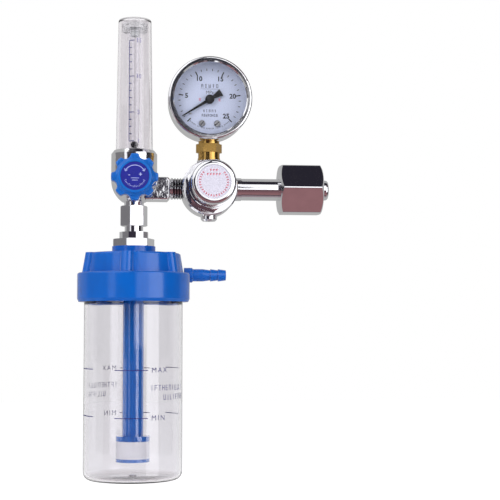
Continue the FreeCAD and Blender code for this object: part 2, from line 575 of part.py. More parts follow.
# Pressure gauge. Its axis points to the front, through the gauge centre.
GAUGE = ("body_x", "0", "gauge_up")
derive("dial_back", "dial_front - dial_thick")
derive("front_plate_top", "-block_front + 2 * plate_sheet + plate_gap")
gauge_shell = turned("gauge_shell", [
    ("0", "-case_back"), ("case_r - bezel_round", "-case_back"),
    ("case_r", "bezel_round - case_back", "bezel_round", 1), ("case_r", "case_front"),
    ("case_r - case_wall", "case_front"), ("case_r - case_wall", "case_wall - case_back"),
    ("0", "case_wall - case_back"),
], "front", GAUGE)
keep("gauge_case", cut("gauge_case", gauge_shell, [
    rod("socket_hole", "socket_top_r + run_gap", "case_r", "down", GAUGE)]))
keep("gauge_bezel", turned("gauge_bezel", [
    ("case_r + run_gap", "bezel_start"), ("bezel_r", "bezel_start"),
    ("bezel_r", "bezel_front - bezel_round"),
    ("bezel_r - bezel_round", "bezel_front", "bezel_round", 1),
    ("bezel_opening_r + bezel_break", "bezel_front"),
    ("bezel_opening_r", "bezel_front - bezel_break"), ("bezel_opening_r", "bezel_front - bezel_lip"),
    ("case_r + run_gap", "bezel_front - bezel_lip"),
], "front", GAUGE))
derive("glass_back", "bezel_front - bezel_lip - window_thick")
keep("gauge_window", turned("gauge_window", [
    ("0", "glass_back"), ("window_r", "glass_back"),
    ("window_r", "bezel_front - bezel_lip"), ("0", "bezel_front - bezel_lip"),
], "front", GAUGE))
keep("window_gasket", turned("window_gasket", [
    ("window_seal_in_r", "case_front"), ("window_r", "case_front"),
    ("window_r", "glass_back"), ("window_seal_in_r", "glass_back"),
], "front", GAUGE))
screw_spots = (("body_x - screw_x", "0", "gauge_up - screw_down"),
               ("body_x + screw_x", "0", "gauge_up - screw_down"))
keep("gauge_dial", cut("gauge_dial", turned("dial_disc", [
    ("arbor_r + 0.6", "dial_back"), ("dial_r", "dial_back"), ("dial_r", "dial_front"),
    ("arbor_r + 0.6", "dial_front"),
], "front", GAUGE), [
    rod("dial_hole_%d" % index, "screw_shank_r + run_gap", "dial_thick + 2", "front",
        (spot[0], "1 - dial_back", spot[2])) for index, spot in enumerate(screw_spots)
] + [rod("stop_hole", "stop_r + run_gap", "dial_thick + 2", "front",
         ("body_x + stop_reach * cos(pointer_angle + stop_angle)", "1 - dial_back",
          "gauge_up + stop_reach * sin(pointer_angle + stop_angle)"))]))
screws = []
for index, spot in enumerate(screw_spots):
    screw = turned("screw_turn_%d" % index, [
        ("0", "dial_back - screw_shank_len"), ("screw_shank_r", "dial_back - screw_shank_len"),
        ("screw_shank_r", "dial_front"), ("screw_head_r", "dial_front"),
        ("screw_head_r", "dial_front + screw_head * 0.6"),
        ("screw_head_r - screw_head * 0.4", "dial_front + screw_head"),
        ("0", "dial_front + screw_head"),
    ], "front", spot)
    screws.append(cut("slotted_screw_%d" % index, screw, [
        block("screw_slot_%d" % index, ("2 * screw_head_r + 1", "slot_deep + 1", "slot_wide"),
              ("%s - screw_head_r - 0.5" % spot[0], "-dial_front - screw_head - 1",
               "%s - slot_wide / 2" % spot[2]))]))
screw_pair = doc.addObject("Part::Compound", "dial_screws")
screw_pair.Links = screws
keep("dial_screws", screw_pair)
keep("stop_pin", rod("stop_pin", "stop_r", "stop_len + dial_thick", "front",
                     ("body_x + stop_reach * cos(pointer_angle + stop_angle)", "-dial_back",
                      "gauge_up + stop_reach * sin(pointer_angle + stop_angle)")))
derive("pointer_at", "dial_front + pointer_lift")
derive("arbor_front", "pointer_at + hub_thick - 0.8")
hand = doc.addObject("PartDesign::Body", "hand")
hand_sketch = flat_sketch(hand, "hand_outline", "XY_Plane")
outline(hand_sketch, [
    ("-pointer_tail", "-tail_half"), ("-pointer_tail * 0.35", "-pointer_root"),
    ("0", "-pointer_root"), ("pointer_len", "-pointer_tip"), ("pointer_len", "pointer_tip"),
    ("0", "pointer_root"), ("-pointer_tail * 0.35", "pointer_root"),
    ("-pointer_tail", "tail_half"),
])
hand_pad = hand.newObject("PartDesign::Pad", "hand_pad")
hand_pad.Profile = hand_sketch
hand_pad.setExpression("Length", ex("pointer_thick"))
place(hand, "front", ("body_x", "-pointer_at", "gauge_up"), number("pointer_angle"))
keep("gauge_pointer", cut("gauge_pointer", joined("hand_blank", [
    hand, rod("hand_hub", "pointer_hub_r", "hub_thick", "front",
              ("body_x", "-pointer_at + 0.3", "gauge_up"))]),
    [rod("hand_bore", "arbor_r + seal_gap", "arbor_front + seal_gap - pointer_at + 0.8",
         "front", ("body_x", "-pointer_at + 0.8", "gauge_up"))]))

# Gauge socket, Bourdon tube and movement behind the dial
derive("socket_low", "gauge_boss_top - gauge_thread_len")
derive("case_bottom", "gauge_up - case_r")
socket_turn = turned("socket_turn", [
    ("0", "socket_low"), ("gauge_thread_r", "socket_low"),
    ("gauge_thread_r", "gauge_boss_top"), ("seat_r", "gauge_boss_top"),
    ("seat_r", "gauge_boss_top + seat_thick"), ("socket_neck_r", "gauge_boss_top + seat_thick"),
    ("socket_neck_r", "hex_top"), ("socket_collar_r", "hex_top"),
    ("socket_collar_r", "case_bottom - run_gap"), ("socket_top_r", "case_bottom - run_gap"),
    ("socket_top_r", "gauge_up - plate_low - socket_top_gap"),
    ("0", "gauge_up - plate_low - socket_top_gap"),
], "up", BODY)
tube_body = doc.addObject("PartDesign::Body", "tube_coil")
tube_sketch = flat_sketch(tube_body, "tube_section")


def tube_section(sketch, grow):
    inner = "tube_mid_r - tube_thick / 2 + %s" % grow
    outer = "tube_mid_r + tube_thick / 2 - %s" % grow
    low = "-block_back + tube_inset + %s" % grow
    high = "-block_front - tube_inset - %s" % grow
    outline(sketch, [(inner, low), (outer, low), (outer, high), (inner, high)])


tube_section(tube_sketch, "0")
tube_section(tube_sketch, "tube_wall")
tube_turn = tube_body.newObject("PartDesign::Revolution", "tube_turn")
tube_turn.Profile = tube_sketch
tube_turn.ReferenceAxis = (tube_sketch, ["V_Axis"])
tube_turn.setExpression("Angle", ex("tube_sweep_angle"))
place(tube_body, "front", GAUGE, number("tube_start_angle"))
tip_plug = doc.addObject("PartDesign::Body", "tip_plug")
tip_sketch = flat_sketch(tip_plug, "tip_section")
tube_section(tip_sketch, "0")
tip_turn = tip_plug.newObject("PartDesign::Revolution", "tip_turn")
tip_turn.Profile = tip_sketch
tip_turn.ReferenceAxis = (tip_sketch, ["V_Axis"])
tip_turn.setExpression("Angle", ex("tube_tip_angle"))
place(tip_plug, "front", GAUGE, number("tube_start_angle + tube_sweep_angle"))
keep("bourdon_tube", joined("bourdon_tube", [tube_body, tip_plug]))
slot_body = doc.addObject("PartDesign::Body", "tube_slot")
slot_sketch = flat_sketch(slot_body, "slot_section")
tube_section(slot_sketch, "0")
slot_turn = slot_body.newObject("PartDesign::Revolution", "slot_turn")
slot_turn.Profile = slot_sketch
slot_turn.ReferenceAxis = (slot_sketch, ["V_Axis"])
slot_turn.setExpression("Angle", ex("tube_slot_angle"))
place(slot_body, "front", GAUGE, number("tube_start_angle"))
keep("gauge_socket", cut("gauge_socket", joined("socket_blank", [
    socket_turn,
    hexagon("socket_flats", "socket_hex", "hex_top - hex_low", "up", ("body_x", "0", "hex_low")),
    block("socket_block", ("2 * block_half", "block_back - block_front", "block_low - block_top"),
          ("body_x - block_half", "block_front", "gauge_up - block_low")),
]), [
    slot_body,
    rod("socket_channel", "socket_channel_r", "gauge_up - block_low - socket_low + 1.5", "up",
        ("body_x", "0", "socket_low")),
]))
derive("pivot_down", "gear_module * (pinion_teeth + sector_teeth) / 2")
derive("plates_at", "-block_front")


def movement_plate(name, forward):
    return block(name, ("2 * plate_half", "plate_sheet", "plate_low + plate_high"),
                 ("body_x - plate_half", "-(%s) - plate_sheet" % forward, "gauge_up - plate_low"))


keep("movement_frame", cut("movement_frame", joined("frame_blank", [
    movement_plate("rear_plate", "plates_at"),
    movement_plate("front_plate", "plates_at + plate_sheet + plate_gap"),
] + [rod("pillar_%d" % index, "pillar_r", "dial_back + block_front", "front",
         (spot[0], "block_front", spot[2])) for index, spot in enumerate(screw_spots)]), [
    rod("arbor_hole", "arbor_r + run_gap", "dial_front + block_front + 2", "front",
        ("body_x", "block_front + 1", "gauge_up")),
    rod("pivot_hole", "arbor_r + run_gap", "dial_front + block_front + 2", "front",
        ("body_x", "block_front + 1", "gauge_up - pivot_down")),
] + [rod("frame_screw_hole_%d" % index, "screw_shank_r + run_gap", "screw_shank_len + 1",
         "front", (spot[0], "-dial_back + screw_shank_len", spot[2]))
     for index, spot in enumerate(screw_spots)]))


def toothed(teeth_name, from_step, to_step, turn):
    # Corner points of straight-flanked teeth, from one tooth number to another.
    teeth = number(teeth_name)
    module = number("gear_module")
    pitch_r = module * teeth / 2
    play = number("gear_play")
    spots = []
    for step in range(from_step, to_step):
        middle = math.radians(turn + step * 360.0 / teeth)
        for reach, half in ((-1.15, 1.05), (0.8, 0.36), (0.8, -0.36), (-1.15, -1.05)):
            radius = pitch_r + reach * module
            spread = (half * module * math.pi / 4 - (play if half > 0 else -play) / 2) / pitch_r
            angle = middle - spread
            spots.append(Vector(radius * math.cos(angle), radius * math.sin(angle), 0))
    return spots


def toothed_plate(spots, thick):
    wire = Part.makePolygon(spots + spots[:1])
    return Part.Face(wire).extrude(Vector(0, 0, thick))


sector_spots = toothed(
    "sector_teeth", -int(number("sector_after / 360 * sector_teeth")),
    int(number("sector_before / 360 * sector_teeth")) + 1, 90.0)
sector_spots += [Vector(-number("sector_neck"), number("sector_neck"), 0),
                 Vector(number("sector_neck"), -number("sector_root"), 0)]
sector_gear = doc.addObject("Part::Feature", "sector_plate")
tail_bar = Part.makeBox(number("sector_tail"), number("tail_wide"), number("sector_thick"),
                        Vector(0, -number("tail_wide") / 2, 0))
tail_bar.rotate(Vector(0, 0, 0), Vector(0, 0, 1), number("tail_angle"))
sector_gear.Shape = toothed_plate(sector_spots, number("sector_thick")).fuse([
    tail_bar, Part.makeCylinder(number("sector_hub_r"), number("sector_thick"))])
place(sector_gear, "front", ("body_x", "block_front - plate_sheet - sector_lift",
                             "gauge_up - pivot_down"))
derive("arbor_back", "block_front - run_gap")
keep("sector_gear", joined("sector_gear", [
    sector_gear,
    rod("sector_pivot", "arbor_r", "front_plate_top + block_front - 2 * run_gap", "front",
        ("body_x", "arbor_back", "gauge_up - pivot_down"))]))
pinion = doc.addObject("Part::Feature", "pinion_teeth_ring")
pinion.Shape = toothed_plate(
    toothed("pinion_teeth", 0, int(number("pinion_teeth")),
            -90.0 + 180.0 / number("pinion_teeth")), number("pinion_thick"))
place(pinion, "front", ("body_x", "block_front - plate_sheet - face_gap", "gauge_up"))
keep("pinion_arbor", joined("pinion_arbor", [
    pinion,
    rod("hand_arbor", "arbor_r", "arbor_front + arbor_back", "front",
        ("body_x", "arbor_back", "gauge_up"))]))
derive("tip_angle", "tube_start_angle + tube_sweep_angle + tube_tip_angle / 2")
derive("tip_x", "tube_mid_r * cos(tip_angle)")
derive("tip_up", "tube_mid_r * sin(tip_angle)")
link_bar = doc.addObject("Part::Feature", "link_bar")
link_start = Vector(number("tip_x"), number("tip_up"), 0)
link_end = Vector(number("sector_tail * cos(tail_angle)"),
                  number("sector_tail * sin(tail_angle) - pivot_down"), 0)
link_way = link_end - link_start
link_side = Vector(-link_way.y, link_way.x, 0).normalize() * (number("link_wide") / 2)
link_bar.Shape = Part.Face(Part.makePolygon([
    link_start - link_side, link_end - link_side, link_end + link_side,
    link_start + link_side, link_start - link_side])).extrude(Vector(0, 0, number("link_thick")))
place(link_bar, "front", ("body_x", "block_front - plate_sheet - link_lift", "gauge_up"))
keep("tip_link", joined("tip_link", [
    link_bar,
    rod("tip_pin", "link_pin_r", "tube_inset + plate_sheet + link_lift + link_thick", "front",
        ("body_x + tip_x", "block_front + tube_inset", "gauge_up + tip_up"))]))

# Flowmeter body with its side arm
FLOW = ("flow_x", "0", "0")
flow_turn = turned("flow_turn", [
    ("0", "-spigot_end"), ("spigot_r", "-spigot_end"), ("spigot_r", "-spigot_start"),
    ("spigot_neck_r", "-spigot_start"), ("spigot_neck_r", "-flow_low"),
    ("flow_low_r", "-flow_low"), ("flow_r", "flow_waist", "flow_bowl_r", 1),
    ("flow_r", "flow_top - flow_edge"), ("flow_top_r", "flow_top"),
    ("cover_socket_r", "flow_top"), ("cover_socket_r", "cover_floor"),
    ("seal_seat_r", "cover_floor"), ("seal_seat_r", "seal_seat"), ("0", "seal_seat"),
], "up", FLOW)
derive("nipple_end", "flow_reach - body_reach - body_r + outlet_thread_depth")
nipple = turned("nipple", [
    ("0", "arm_end - 2"), ("nipple_r - arm_thread_depth", "arm_end - 2"),
    ("nipple_r - arm_thread_depth", "nipple_root"), ("nipple_r", "nipple_root + 0.4"),
    ("nipple_r", "nipple_end - run_gap"), ("0", "nipple_end - run_gap"),
], "right", FLOW)
rings(nipple, "Groove", [
    ("nipple_r + 0.2", "nipple_root + arm_pitch * 0.6"),
    ("nipple_r - arm_thread_depth", "nipple_root + arm_pitch * 1.15"),
    ("nipple_r + 0.2", "nipple_root + arm_pitch * 1.7"),
], "arm_pitch", "arm_threads")
arm_body = doc.addObject("PartDesign::Body", "arm_block")
arm_sketch = flat_sketch(arm_body, "arm_outline")
outline(arm_sketch, [
    ("flow_r / 2", "-arm_drop"), ("arm_end - arm_edge", "-arm_drop"),
    ("arm_end", "arm_edge - arm_drop"), ("arm_end", "arm_rise - arm_edge"),
    ("arm_end - arm_edge", "arm_rise"), ("flow_r / 2", "arm_rise"),
])
arm_pad = arm_body.newObject("PartDesign::Pad", "arm_pad")
arm_pad.Profile = arm_sketch
arm_pad.setExpression("Length", ex("2 * arm_half_deep"))
arm_pad.SideType = "Symmetric" if hasattr(arm_pad, "SideType") else 0
doc.recompute()
round_edges(arm_body, arm_pad, "arm_round", lambda ends: abs(ends[0].y - ends[1].y) < 0.1
            and max(ends[0].x, ends[1].x) > number("flow_r / 2") + 0.1)
place(arm_body, "up", FLOW)
keep("flowmeter_body", cut("flowmeter_body", joined("flow_blank", [
    flow_turn, nipple, arm_body,
    rod("gland_boss", "gland_boss_r", "gland_face - needle_seat", "front",
        ("flow_x", "-needle_seat", "knob_up")),
]), [
    turned("socket_room", [
        ("0", "seal_seat"), ("seal_seat_r", "seal_seat"), ("seal_seat_r", "cover_floor"),
        ("cover_socket_r", "cover_floor"), ("cover_socket_r", "flow_top + 1"),
        ("0", "flow_top + 1")], "up", FLOW),
    rod("arm_port", "port_r", "nipple_end + 1", "right",
        ("flow_x", "-arm_port_front", "arm_port_up")),
    rod("tube_port", "tube_port_r", "seal_seat - knob_up + 1", "up", ("flow_x", "0", "knob_up")),
    rod("spigot_bore", "spigot_bore_r", "spigot_end - spigot_bore_top + 1", "down",
        ("flow_x", "0", "-spigot_bore_top")),
    rod("return_drop", "return_r", "cover_floor + spigot_bore_top + 2 * return_r + 1", "down",
        ("flow_x", "return_reach", "cover_floor + 1")),
    rod("return_cross", "return_cross_r", "return_reach", "front",
        ("flow_x", "return_reach", "-spigot_bore_top - return_r")),
    rod("gland_bore", "gland_bore_r", "gland_face - gland_bore_end + 1", "front",
        ("flow_x", "-gland_bore_end", "knob_up")),
    rod("needle_bore", "needle_bore_r", "gland_bore_end - needle_seat + 1", "front",
        ("flow_x", "-needle_seat", "knob_up")),
    rod("needle_hole", "needle_hole_r", "needle_seat + 1", "front", ("flow_x", "0", "knob_up")),
]))

# Needle valve and knob
KNOB = ("flow_x", "0", "knob_up")
keep("gland_nut", cut("gland_nut", joined("gland_blank", [
    rod("gland_thread", "gland_bore_r - run_gap", "gland_thread_len", "front",
        ("flow_x", "gland_thread_len - gland_face", "knob_up")),
    hexagon("gland_hex_head", "gland_hex", "gland_head", "front",
            ("flow_x", "-gland_face", "knob_up"))]),
    [rod("gland_hole", "spindle_r + run_gap", "gland_face + gland_head + 1", "front", KNOB)]))
keep("packing", turned("packing", [
    ("spindle_r + run_gap", "gland_bore_end"), ("gland_bore_r - run_gap", "gland_bore_end"),
    ("gland_bore_r - run_gap", "gland_bore_end + packing_thick"),
    ("spindle_r + run_gap", "gland_bore_end + packing_thick"),
], "front", KNOB))
derive("needle_end_r", "needle_hole_r - run_gap")
keep("spindle", turned("spindle", [
    ("0", "needle_seat - (needle_end_r - needle_tip_r) / needle_slope"),
    ("needle_tip_r", "needle_seat - (needle_end_r - needle_tip_r) / needle_slope"),
    ("spindle_r", "needle_seat + (spindle_r - needle_end_r) / needle_slope"),
    ("spindle_r", "knob_back + spindle_in_knob"), ("0", "knob_back + spindle_in_knob"),
], "front", KNOB))
knob = turned("knob", [
    ("0", "knob_back + spindle_in_knob + seal_gap"),
    ("spindle_r + seal_gap", "knob_back + spindle_in_knob + seal_gap"),
    ("spindle_r + seal_gap", "knob_back + knob_hollow"),
    ("knob_hollow_r", "knob_back + knob_hollow"), ("knob_hollow_r", "knob_back"),
    ("knob_r - knob_round", "knob_back"), ("knob_r", "knob_back + knob_round", "knob_round", 1),
    ("knob_r", "lobe_front - knob_round"),
    ("knob_r - knob_round", "lobe_front", "knob_round", 1), ("knob_ring_r + 1.5", "lobe_front"),
    ("knob_ring_r", "lobe_front + 1.5"), ("knob_ring_r", "knob_front - knob_round * 0.6"),
    ("knob_ring_r - knob_round * 0.6", "knob_front", "knob_round * 0.6", 1),
    ("knob_recess_r", "knob_front"), ("knob_recess_r", "knob_front - knob_recess"),
    ("0", "knob_front - knob_recess"),
], "front", KNOB)
scallop_sketch = flat_sketch(knob, "scallop_circle", "XY_Plane", "knob_front")
circle_sketch(scallop_sketch, "scallop_reach * cos(180 / lobes)",
              "scallop_reach * sin(180 / lobes)", "scallop_r")
scallop = knob.newObject("PartDesign::Pocket", "scallop")
scallop.Profile = scallop_sketch
scallop.Type = "ThroughAll"
doc.recompute()
scallops = knob.newObject("PartDesign::PolarPattern", "scallops")
scallops.Originals = [scallop]
scallops.Axis = (scallop_sketch, ["N_Axis"])
scallops.Angle = 360
scallops.setExpression("Occurrences", ex("lobes"))
knob.Tip = scallops
doc.recompute()
round_edges(knob, scallops, "lobe_round", lambda ends: abs(ends[0].z - ends[1].z) > 0.1 and max(
    abs(math.hypot(spot.x, spot.y) - number("knob_r")) for spot in ends) < 0.01)
keep("knob", knob)
keep("knob_disc", turned("knob_disc", [
    ("0", "knob_front - knob_recess"), ("knob_recess_r - disc_gap", "knob_front - knob_recess"),
    ("knob_recess_r - disc_gap", "knob_front - knob_recess + knob_disc_thick"),
    ("0", "knob_front - knob_recess + knob_disc_thick"),
], "front", KNOB))

# Clear cover, its ring seal, and the metering tube with its float
derive("foot_low", "cover_floor + cover_foot_gap")
keep("tube_cover", turned("tube_cover", [
    ("cover_low_r - cover_wall", "foot_low"), ("cover_foot_r", "foot_low"),
    ("cover_foot_r", "oring_low"), ("cover_foot_r - oring_depth", "oring_low"),
    ("cover_foot_r - oring_depth", "oring_high"), ("cover_foot_r", "oring_high"),
    ("cover_foot_r", "cover_foot_top"), ("cover_low_r", "cover_foot_top"),
    ("cover_top_r", "cover_top - cover_round"),
    ("cover_top_r - cover_round", "cover_top", "cover_round", 1), ("0", "cover_top"),
    ("0", "cover_top - cover_crown"), ("cover_top_r - cover_wall", "cover_top - cover_crown"),
], "up", FLOW))
oring = doc.addObject("Part::Torus", "cover_oring")
derive("oring_in", "cover_foot_r - oring_depth")
oring.setExpression("Radius1", ex("(cover_socket_r + oring_in) / 2"))
oring.setExpression("Radius2", ex("(cover_socket_r - oring_in) / 2 - oring_squash"))
place(oring, "up", ("flow_x", "0", "(oring_low + oring_high) / 2"))
keep("cover_oring", oring)
keep("metering_tube", turned("metering_tube", [
    ("glass_bore_low", "glass_low"), ("glass_r", "glass_low"), ("glass_r", "glass_top"),
    ("glass_bore_top", "glass_top"),
], "up", FLOW))
keep("tube_seal", turned("tube_seal", [
    ("tube_port_r", "seal_seat"), ("seal_seat_r - glass_fit", "seal_seat"),
    ("seal_seat_r - glass_fit", "cover_floor"), ("glass_r + glass_fit", "cover_floor"),
    ("glass_r + glass_fit", "glass_low"), ("tube_port_r", "glass_low"),
], "up", FLOW))
derive("crown_at", "cover_top - cover_crown")
keep("tube_holder", turned("tube_holder", [
    ("glass_r + glass_fit", "holder_low"), ("holder_r", "holder_low"),
    ("holder_r", "holder_high"), ("holder_stub_r", "holder_high"),
    ("holder_stub_r", "crown_at - holder_gap"), ("0", "crown_at - holder_gap"),
    ("0", "glass_top + holder_gap"), ("glass_r + glass_fit", "glass_top + holder_gap"),
], "up", FLOW))
derive("bore_slope", "(glass_bore_top - glass_bore_low) / (glass_top - glass_low)")
derive("top_stop_fit", "glass_bore_low + bore_slope * (top_stop_low - glass_low) - run_gap")
keep("top_stop", turned("top_stop", [
    ("top_stop_bore", "top_stop_low"), ("top_stop_fit", "top_stop_low"),
    ("top_stop_fit", "top_stop_high"), ("top_stop_bore", "top_stop_high"),
], "up", FLOW))
keep("ball_stop", turned("ball_stop", [
    ("ball_stop_bore", "glass_low"), ("ball_stop_r", "glass_low"),
    ("ball_stop_r", "ball_stop_top"), ("ball_stop_bore", "ball_stop_top"),
], "up", FLOW))
ball = doc.addObject("Part::Sphere", "float_ball")
ball.setExpression("Radius", ex("ball_r"))
derive("ball_lift", "sqrt(ball_r * ball_r - ball_stop_bore * ball_stop_bore)")
place(ball, "up", ("flow_x", "0", "ball_stop_top + seal_gap + ball_lift"))
keep("float_ball", ball)

# Coupling nut, stem and the nuts that hold the cap
hex_corner = "coupling_hex / sqrt(3)"
coupling_turn = turned("coupling_blank", [
    ("hose_stem_r + run_gap", "-skirt_low"), ("skirt_r", "-skirt_low"),
    ("skirt_r", "-coupling_low"), (hex_corner + " - coupling_edge", "-coupling_low"),
    (hex_corner + " + 0.05", "coupling_edge * 0.6 - coupling_low"),
    (hex_corner + " + 0.05", "-coupling_top - coupling_edge * 0.6"),
    (hex_corner + " - coupling_edge", "-coupling_top"), ("coupling_chamber_r", "-coupling_top"),
    ("coupling_chamber_r", "-coupling_floor"), ("hose_stem_r + run_gap", "-coupling_floor"),
], "up", FLOW)
keep("coupling_nut", shared("coupling_nut", [coupling_turn, rounded_hexagon(
    "coupling_prism", "coupling_hex", "skirt_low - coupling_top", "coupling_round", "up",
    ("flow_x", "0", "-skirt_low"), number("coupling_turn"))]))
derive("washer_low", "spigot_end + washer_thick + seal_gap")
keep("coupling_washer", turned("coupling_washer", [
    ("hose_bore_r", "-washer_low"), ("stem_collar_r - 0.3", "-washer_low"),
    ("stem_collar_r - 0.3", "washer_thick - washer_low"),
    ("hose_bore_r", "washer_thick - washer_low"),
], "up", FLOW))
keep("humidifier_stem", turned("humidifier_stem", [
    ("hose_bore_r", "-hose_stem_end"), ("hose_stem_r", "-hose_stem_end"),
    ("hose_stem_r", "face_gap - coupling_floor"), ("stem_collar_r", "face_gap - coupling_floor"),
    ("stem_collar_r", "-washer_low"), ("hose_bore_r", "-washer_low"),
], "up", FLOW))
clamp_corner = "clamp_hex / sqrt(3)"
clamp_hex = shared("clamp_hex_plate", [
    turned("clamp_chamfer", [
        ("0", "-clamp_low"), (clamp_corner + " - clamp_edge", "-clamp_low"),
        (clamp_corner, "clamp_edge * 0.6 - clamp_low"),
        (clamp_corner, "-clamp_face - clamp_edge * 0.6"),
        (clamp_corner + " - clamp_edge", "-clamp_face"), ("0", "-clamp_face")], "up", FLOW),
    rounded_hexagon("clamp_prism", "clamp_hex", "clamp_low - clamp_face", "clamp_round", "up",
                    ("flow_x", "0", "-clamp_low"), number("clamp_turn"))])
collar_prism = doc.addObject("Part::Prism", "clamp_collar")
collar_prism.Polygon = 12
collar_prism.setExpression("Circumradius", ex("clamp_collar_r"))
collar_prism.setExpression("Height", ex("clamp_face - clamp_top"))
place(collar_prism, "up", ("flow_x", "0", "-clamp_face"), number("clamp_turn"))
keep("clamp_nut", cut("clamp_nut", joined("clamp_blank", [clamp_hex, collar_prism]), [
    rod("clamp_hole", "hose_stem_r + seal_gap", "clamp_low - clamp_top + 2", "up",
        ("flow_x", "0", "-clamp_low - 1"))]))
derive("lid_under", "lid_top + lid_wall")
keep("inner_washer", turned("inner_washer", [
    ("hose_stem_r + run_gap", "-lid_under - inner_washer"),
    ("inner_washer_r", "-lid_under - inner_washer"), ("inner_washer_r", "-lid_under"),
    ("hose_stem_r + run_gap", "-lid_under")], "up", FLOW))
keep("inner_nut", cut("inner_nut", hexagon(
    "inner_prism", "inner_hex", "inner_nut", "up",
    ("flow_x", "0", "-lid_under - inner_washer - inner_nut")), [
        rod("inner_hole", "hose_stem_r + seal_gap", "inner_nut + 2", "up",
            ("flow_x", "0", "-lid_under - inner_washer - inner_nut - 1"))]))

# Humidifier cap with its ribs and outlet barb
lid = turned("lid", [
    ("hose_stem_r + run_gap", "-lid_under"), ("lid_bore_r", "-lid_under"),
    ("lid_bore_r", "-gasket_seat"), ("ring_bore_r", "-gasket_seat"),
    ("ring_bore_r", "-ring_low"), ("ring_r - ring_lip_in", "-ring_low"),
    ("ring_r", "ring_lip - ring_low"), ("ring_r", "-lid_low - ring_round"),
    ("ring_r - ring_round", "-lid_low", "ring_round", 1), ("lid_low_r", "-lid_low"),
    ("lid_top_r", "-lid_top - lid_round"),
    ("lid_top_r - lid_round", "-lid_top", "lid_round", 1),
    ("cap_boss_r + cap_boss_round", "-lid_top"),
    ("cap_boss_r", "cap_boss_round - lid_top", "cap_boss_round", -1),
    ("cap_boss_r", "-clamp_low"), ("hose_stem_r + run_gap", "-clamp_low"),
], "up", FLOW)
rib_low = flat_sketch(lid, "rib_low", "XY_Plane", "-lid_low")
circle_sketch(rib_low, "rib_low_reach * cos(rib_turn)", "rib_low_reach * sin(rib_turn)", "rib_r")
rib_top = flat_sketch(lid, "rib_top", "XY_Plane", "-lid_top")
circle_sketch(rib_top, "rib_top_reach * cos(rib_turn)", "rib_top_reach * sin(rib_turn)", "rib_r")
rib = lid.newObject("PartDesign::AdditiveLoft", "rib")
rib.Profile = rib_low
rib.Sections = [rib_top]
rib.Ruled = True
doc.recompute()
rib_set = lid.newObject("PartDesign::PolarPattern", "rib_set")
rib_set.Originals = [rib]
rib_set.Axis = (rib_low, ["N_Axis"])
rib_set.Angle = 360
rib_set.setExpression("Occurrences", ex("ribs"))
lid.Tip = rib_set
derive("barb_pitch", "(barb_end - barb_plain_end) / barb_ridges")
barb_points = [("0", "ring_bore_r + 0.4"), ("barb_root_r", "ring_bore_r + 0.4"),
               ("barb_root_r", "barb_root_end"), ("barb_r", "barb_root_end + 0.6")]
for ridge in range(int(number("barb_ridges"))):
    barb_points.append(("barb_r", "barb_plain_end + barb_pitch * %d" % ridge))
    barb_points.append(("barb_small_r", "barb_plain_end + barb_pitch * %d" % (ridge + 1)))
barb_points.append(("0", "barb_end"))
barb = turned("barb", barb_points, "right", ("flow_x", "0", "-barb_down"))
keep("humidifier_cap", cut("humidifier_cap", joined("cap_blank", [lid, barb]), [
    rod("barb_bore", "barb_bore_r", "barb_end + 1", "right",
        ("flow_x + lid_bore_r - 3", "0", "-barb_down")),
    turned("lid_room", [
        ("0", "-barb_down - barb_root_r - 1"), ("lid_bore_r", "-barb_down - barb_root_r - 1"),
        ("lid_bore_r", "-lid_under"), ("0", "-lid_under")], "up", FLOW)]))

# Bottle, its gasket and the bubbler inside
keep("bottle_gasket", turned("bottle_gasket", [
    ("neck_r - neck_wall", "-bottle_top"), ("neck_r", "-bottle_top"),
    ("neck_r", "-gasket_seat - gasket_gap"), ("neck_r - neck_wall", "-gasket_seat - gasket_gap"),
], "up", FLOW))
bottle = turned("bottle", [
    ("0", "-bottle_low"), ("bottle_r - bottle_corner", "-bottle_low"),
    ("bottle_r", "bottle_corner - bottle_low", "bottle_corner", 1),
    ("bottle_r", "-bottle_shoulder - shoulder_round"),
    ("bottle_r - shoulder_round", "-bottle_shoulder", "shoulder_round", 1),
    ("neck_r", "-bottle_shoulder"), ("neck_r", "-bottle_top"),
    ("neck_r - neck_wall", "-bottle_top"), ("neck_r - neck_wall", "-bottle_shoulder - 0.6"),
    ("bottle_r - bottle_wall", "-bottle_shoulder - 3"),
    ("bottle_r - bottle_wall", "bottle_corner - bottle_low"),
    ("bottle_r - bottle_corner", "bottle_wall - bottle_low",
     "bottle_corner - bottle_wall", -1),
    ("0", "bottle_floor - bottle_low"),
], "up", FLOW)
rings(bottle, "Revolution", [
    ("neck_r - 0.2", "-thread_first - thread_pitch * (thread_rings - 1) - thread_wide"),
    ("neck_r + thread_ridge",
     "-thread_first - thread_pitch * (thread_rings - 1) - thread_wide * 0.6"),
    ("neck_r + thread_ridge",
     "-thread_first - thread_pitch * (thread_rings - 1) - thread_wide * 0.4"),
    ("neck_r - 0.2", "-thread_first - thread_pitch * (thread_rings - 1)"),
], "thread_pitch", "thread_rings")
keep("bottle", bottle)
keep("dip_tube", turned("dip_tube", [
    ("dip_bore_r", "-dip_low"), ("dip_r", "-dip_low"), ("dip_r", "-dip_top"),
    ("hose_stem_r + run_gap", "-dip_top"), ("hose_stem_r + run_gap", "-dip_socket_end"),
    ("dip_bore_r", "-dip_socket_end"),
], "up", FLOW))
derive("flange_low", "dip_low + diffuser_flange")
keep("diffuser_top", turned("diffuser_top", [
    ("hose_bore_r", "-flange_low - diffuser_rim"), ("diffuser_rim_r", "-flange_low - diffuser_rim"),
    ("diffuser_rim_r", "-flange_low"), ("diffuser_r", "-flange_low"), ("diffuser_r", "-dip_low"),
    ("dip_bore_r - run_gap", "-dip_low"), ("dip_bore_r - run_gap", "diffuser_spigot - dip_low"),
    ("hose_bore_r", "diffuser_spigot - dip_low"),
], "up", FLOW))
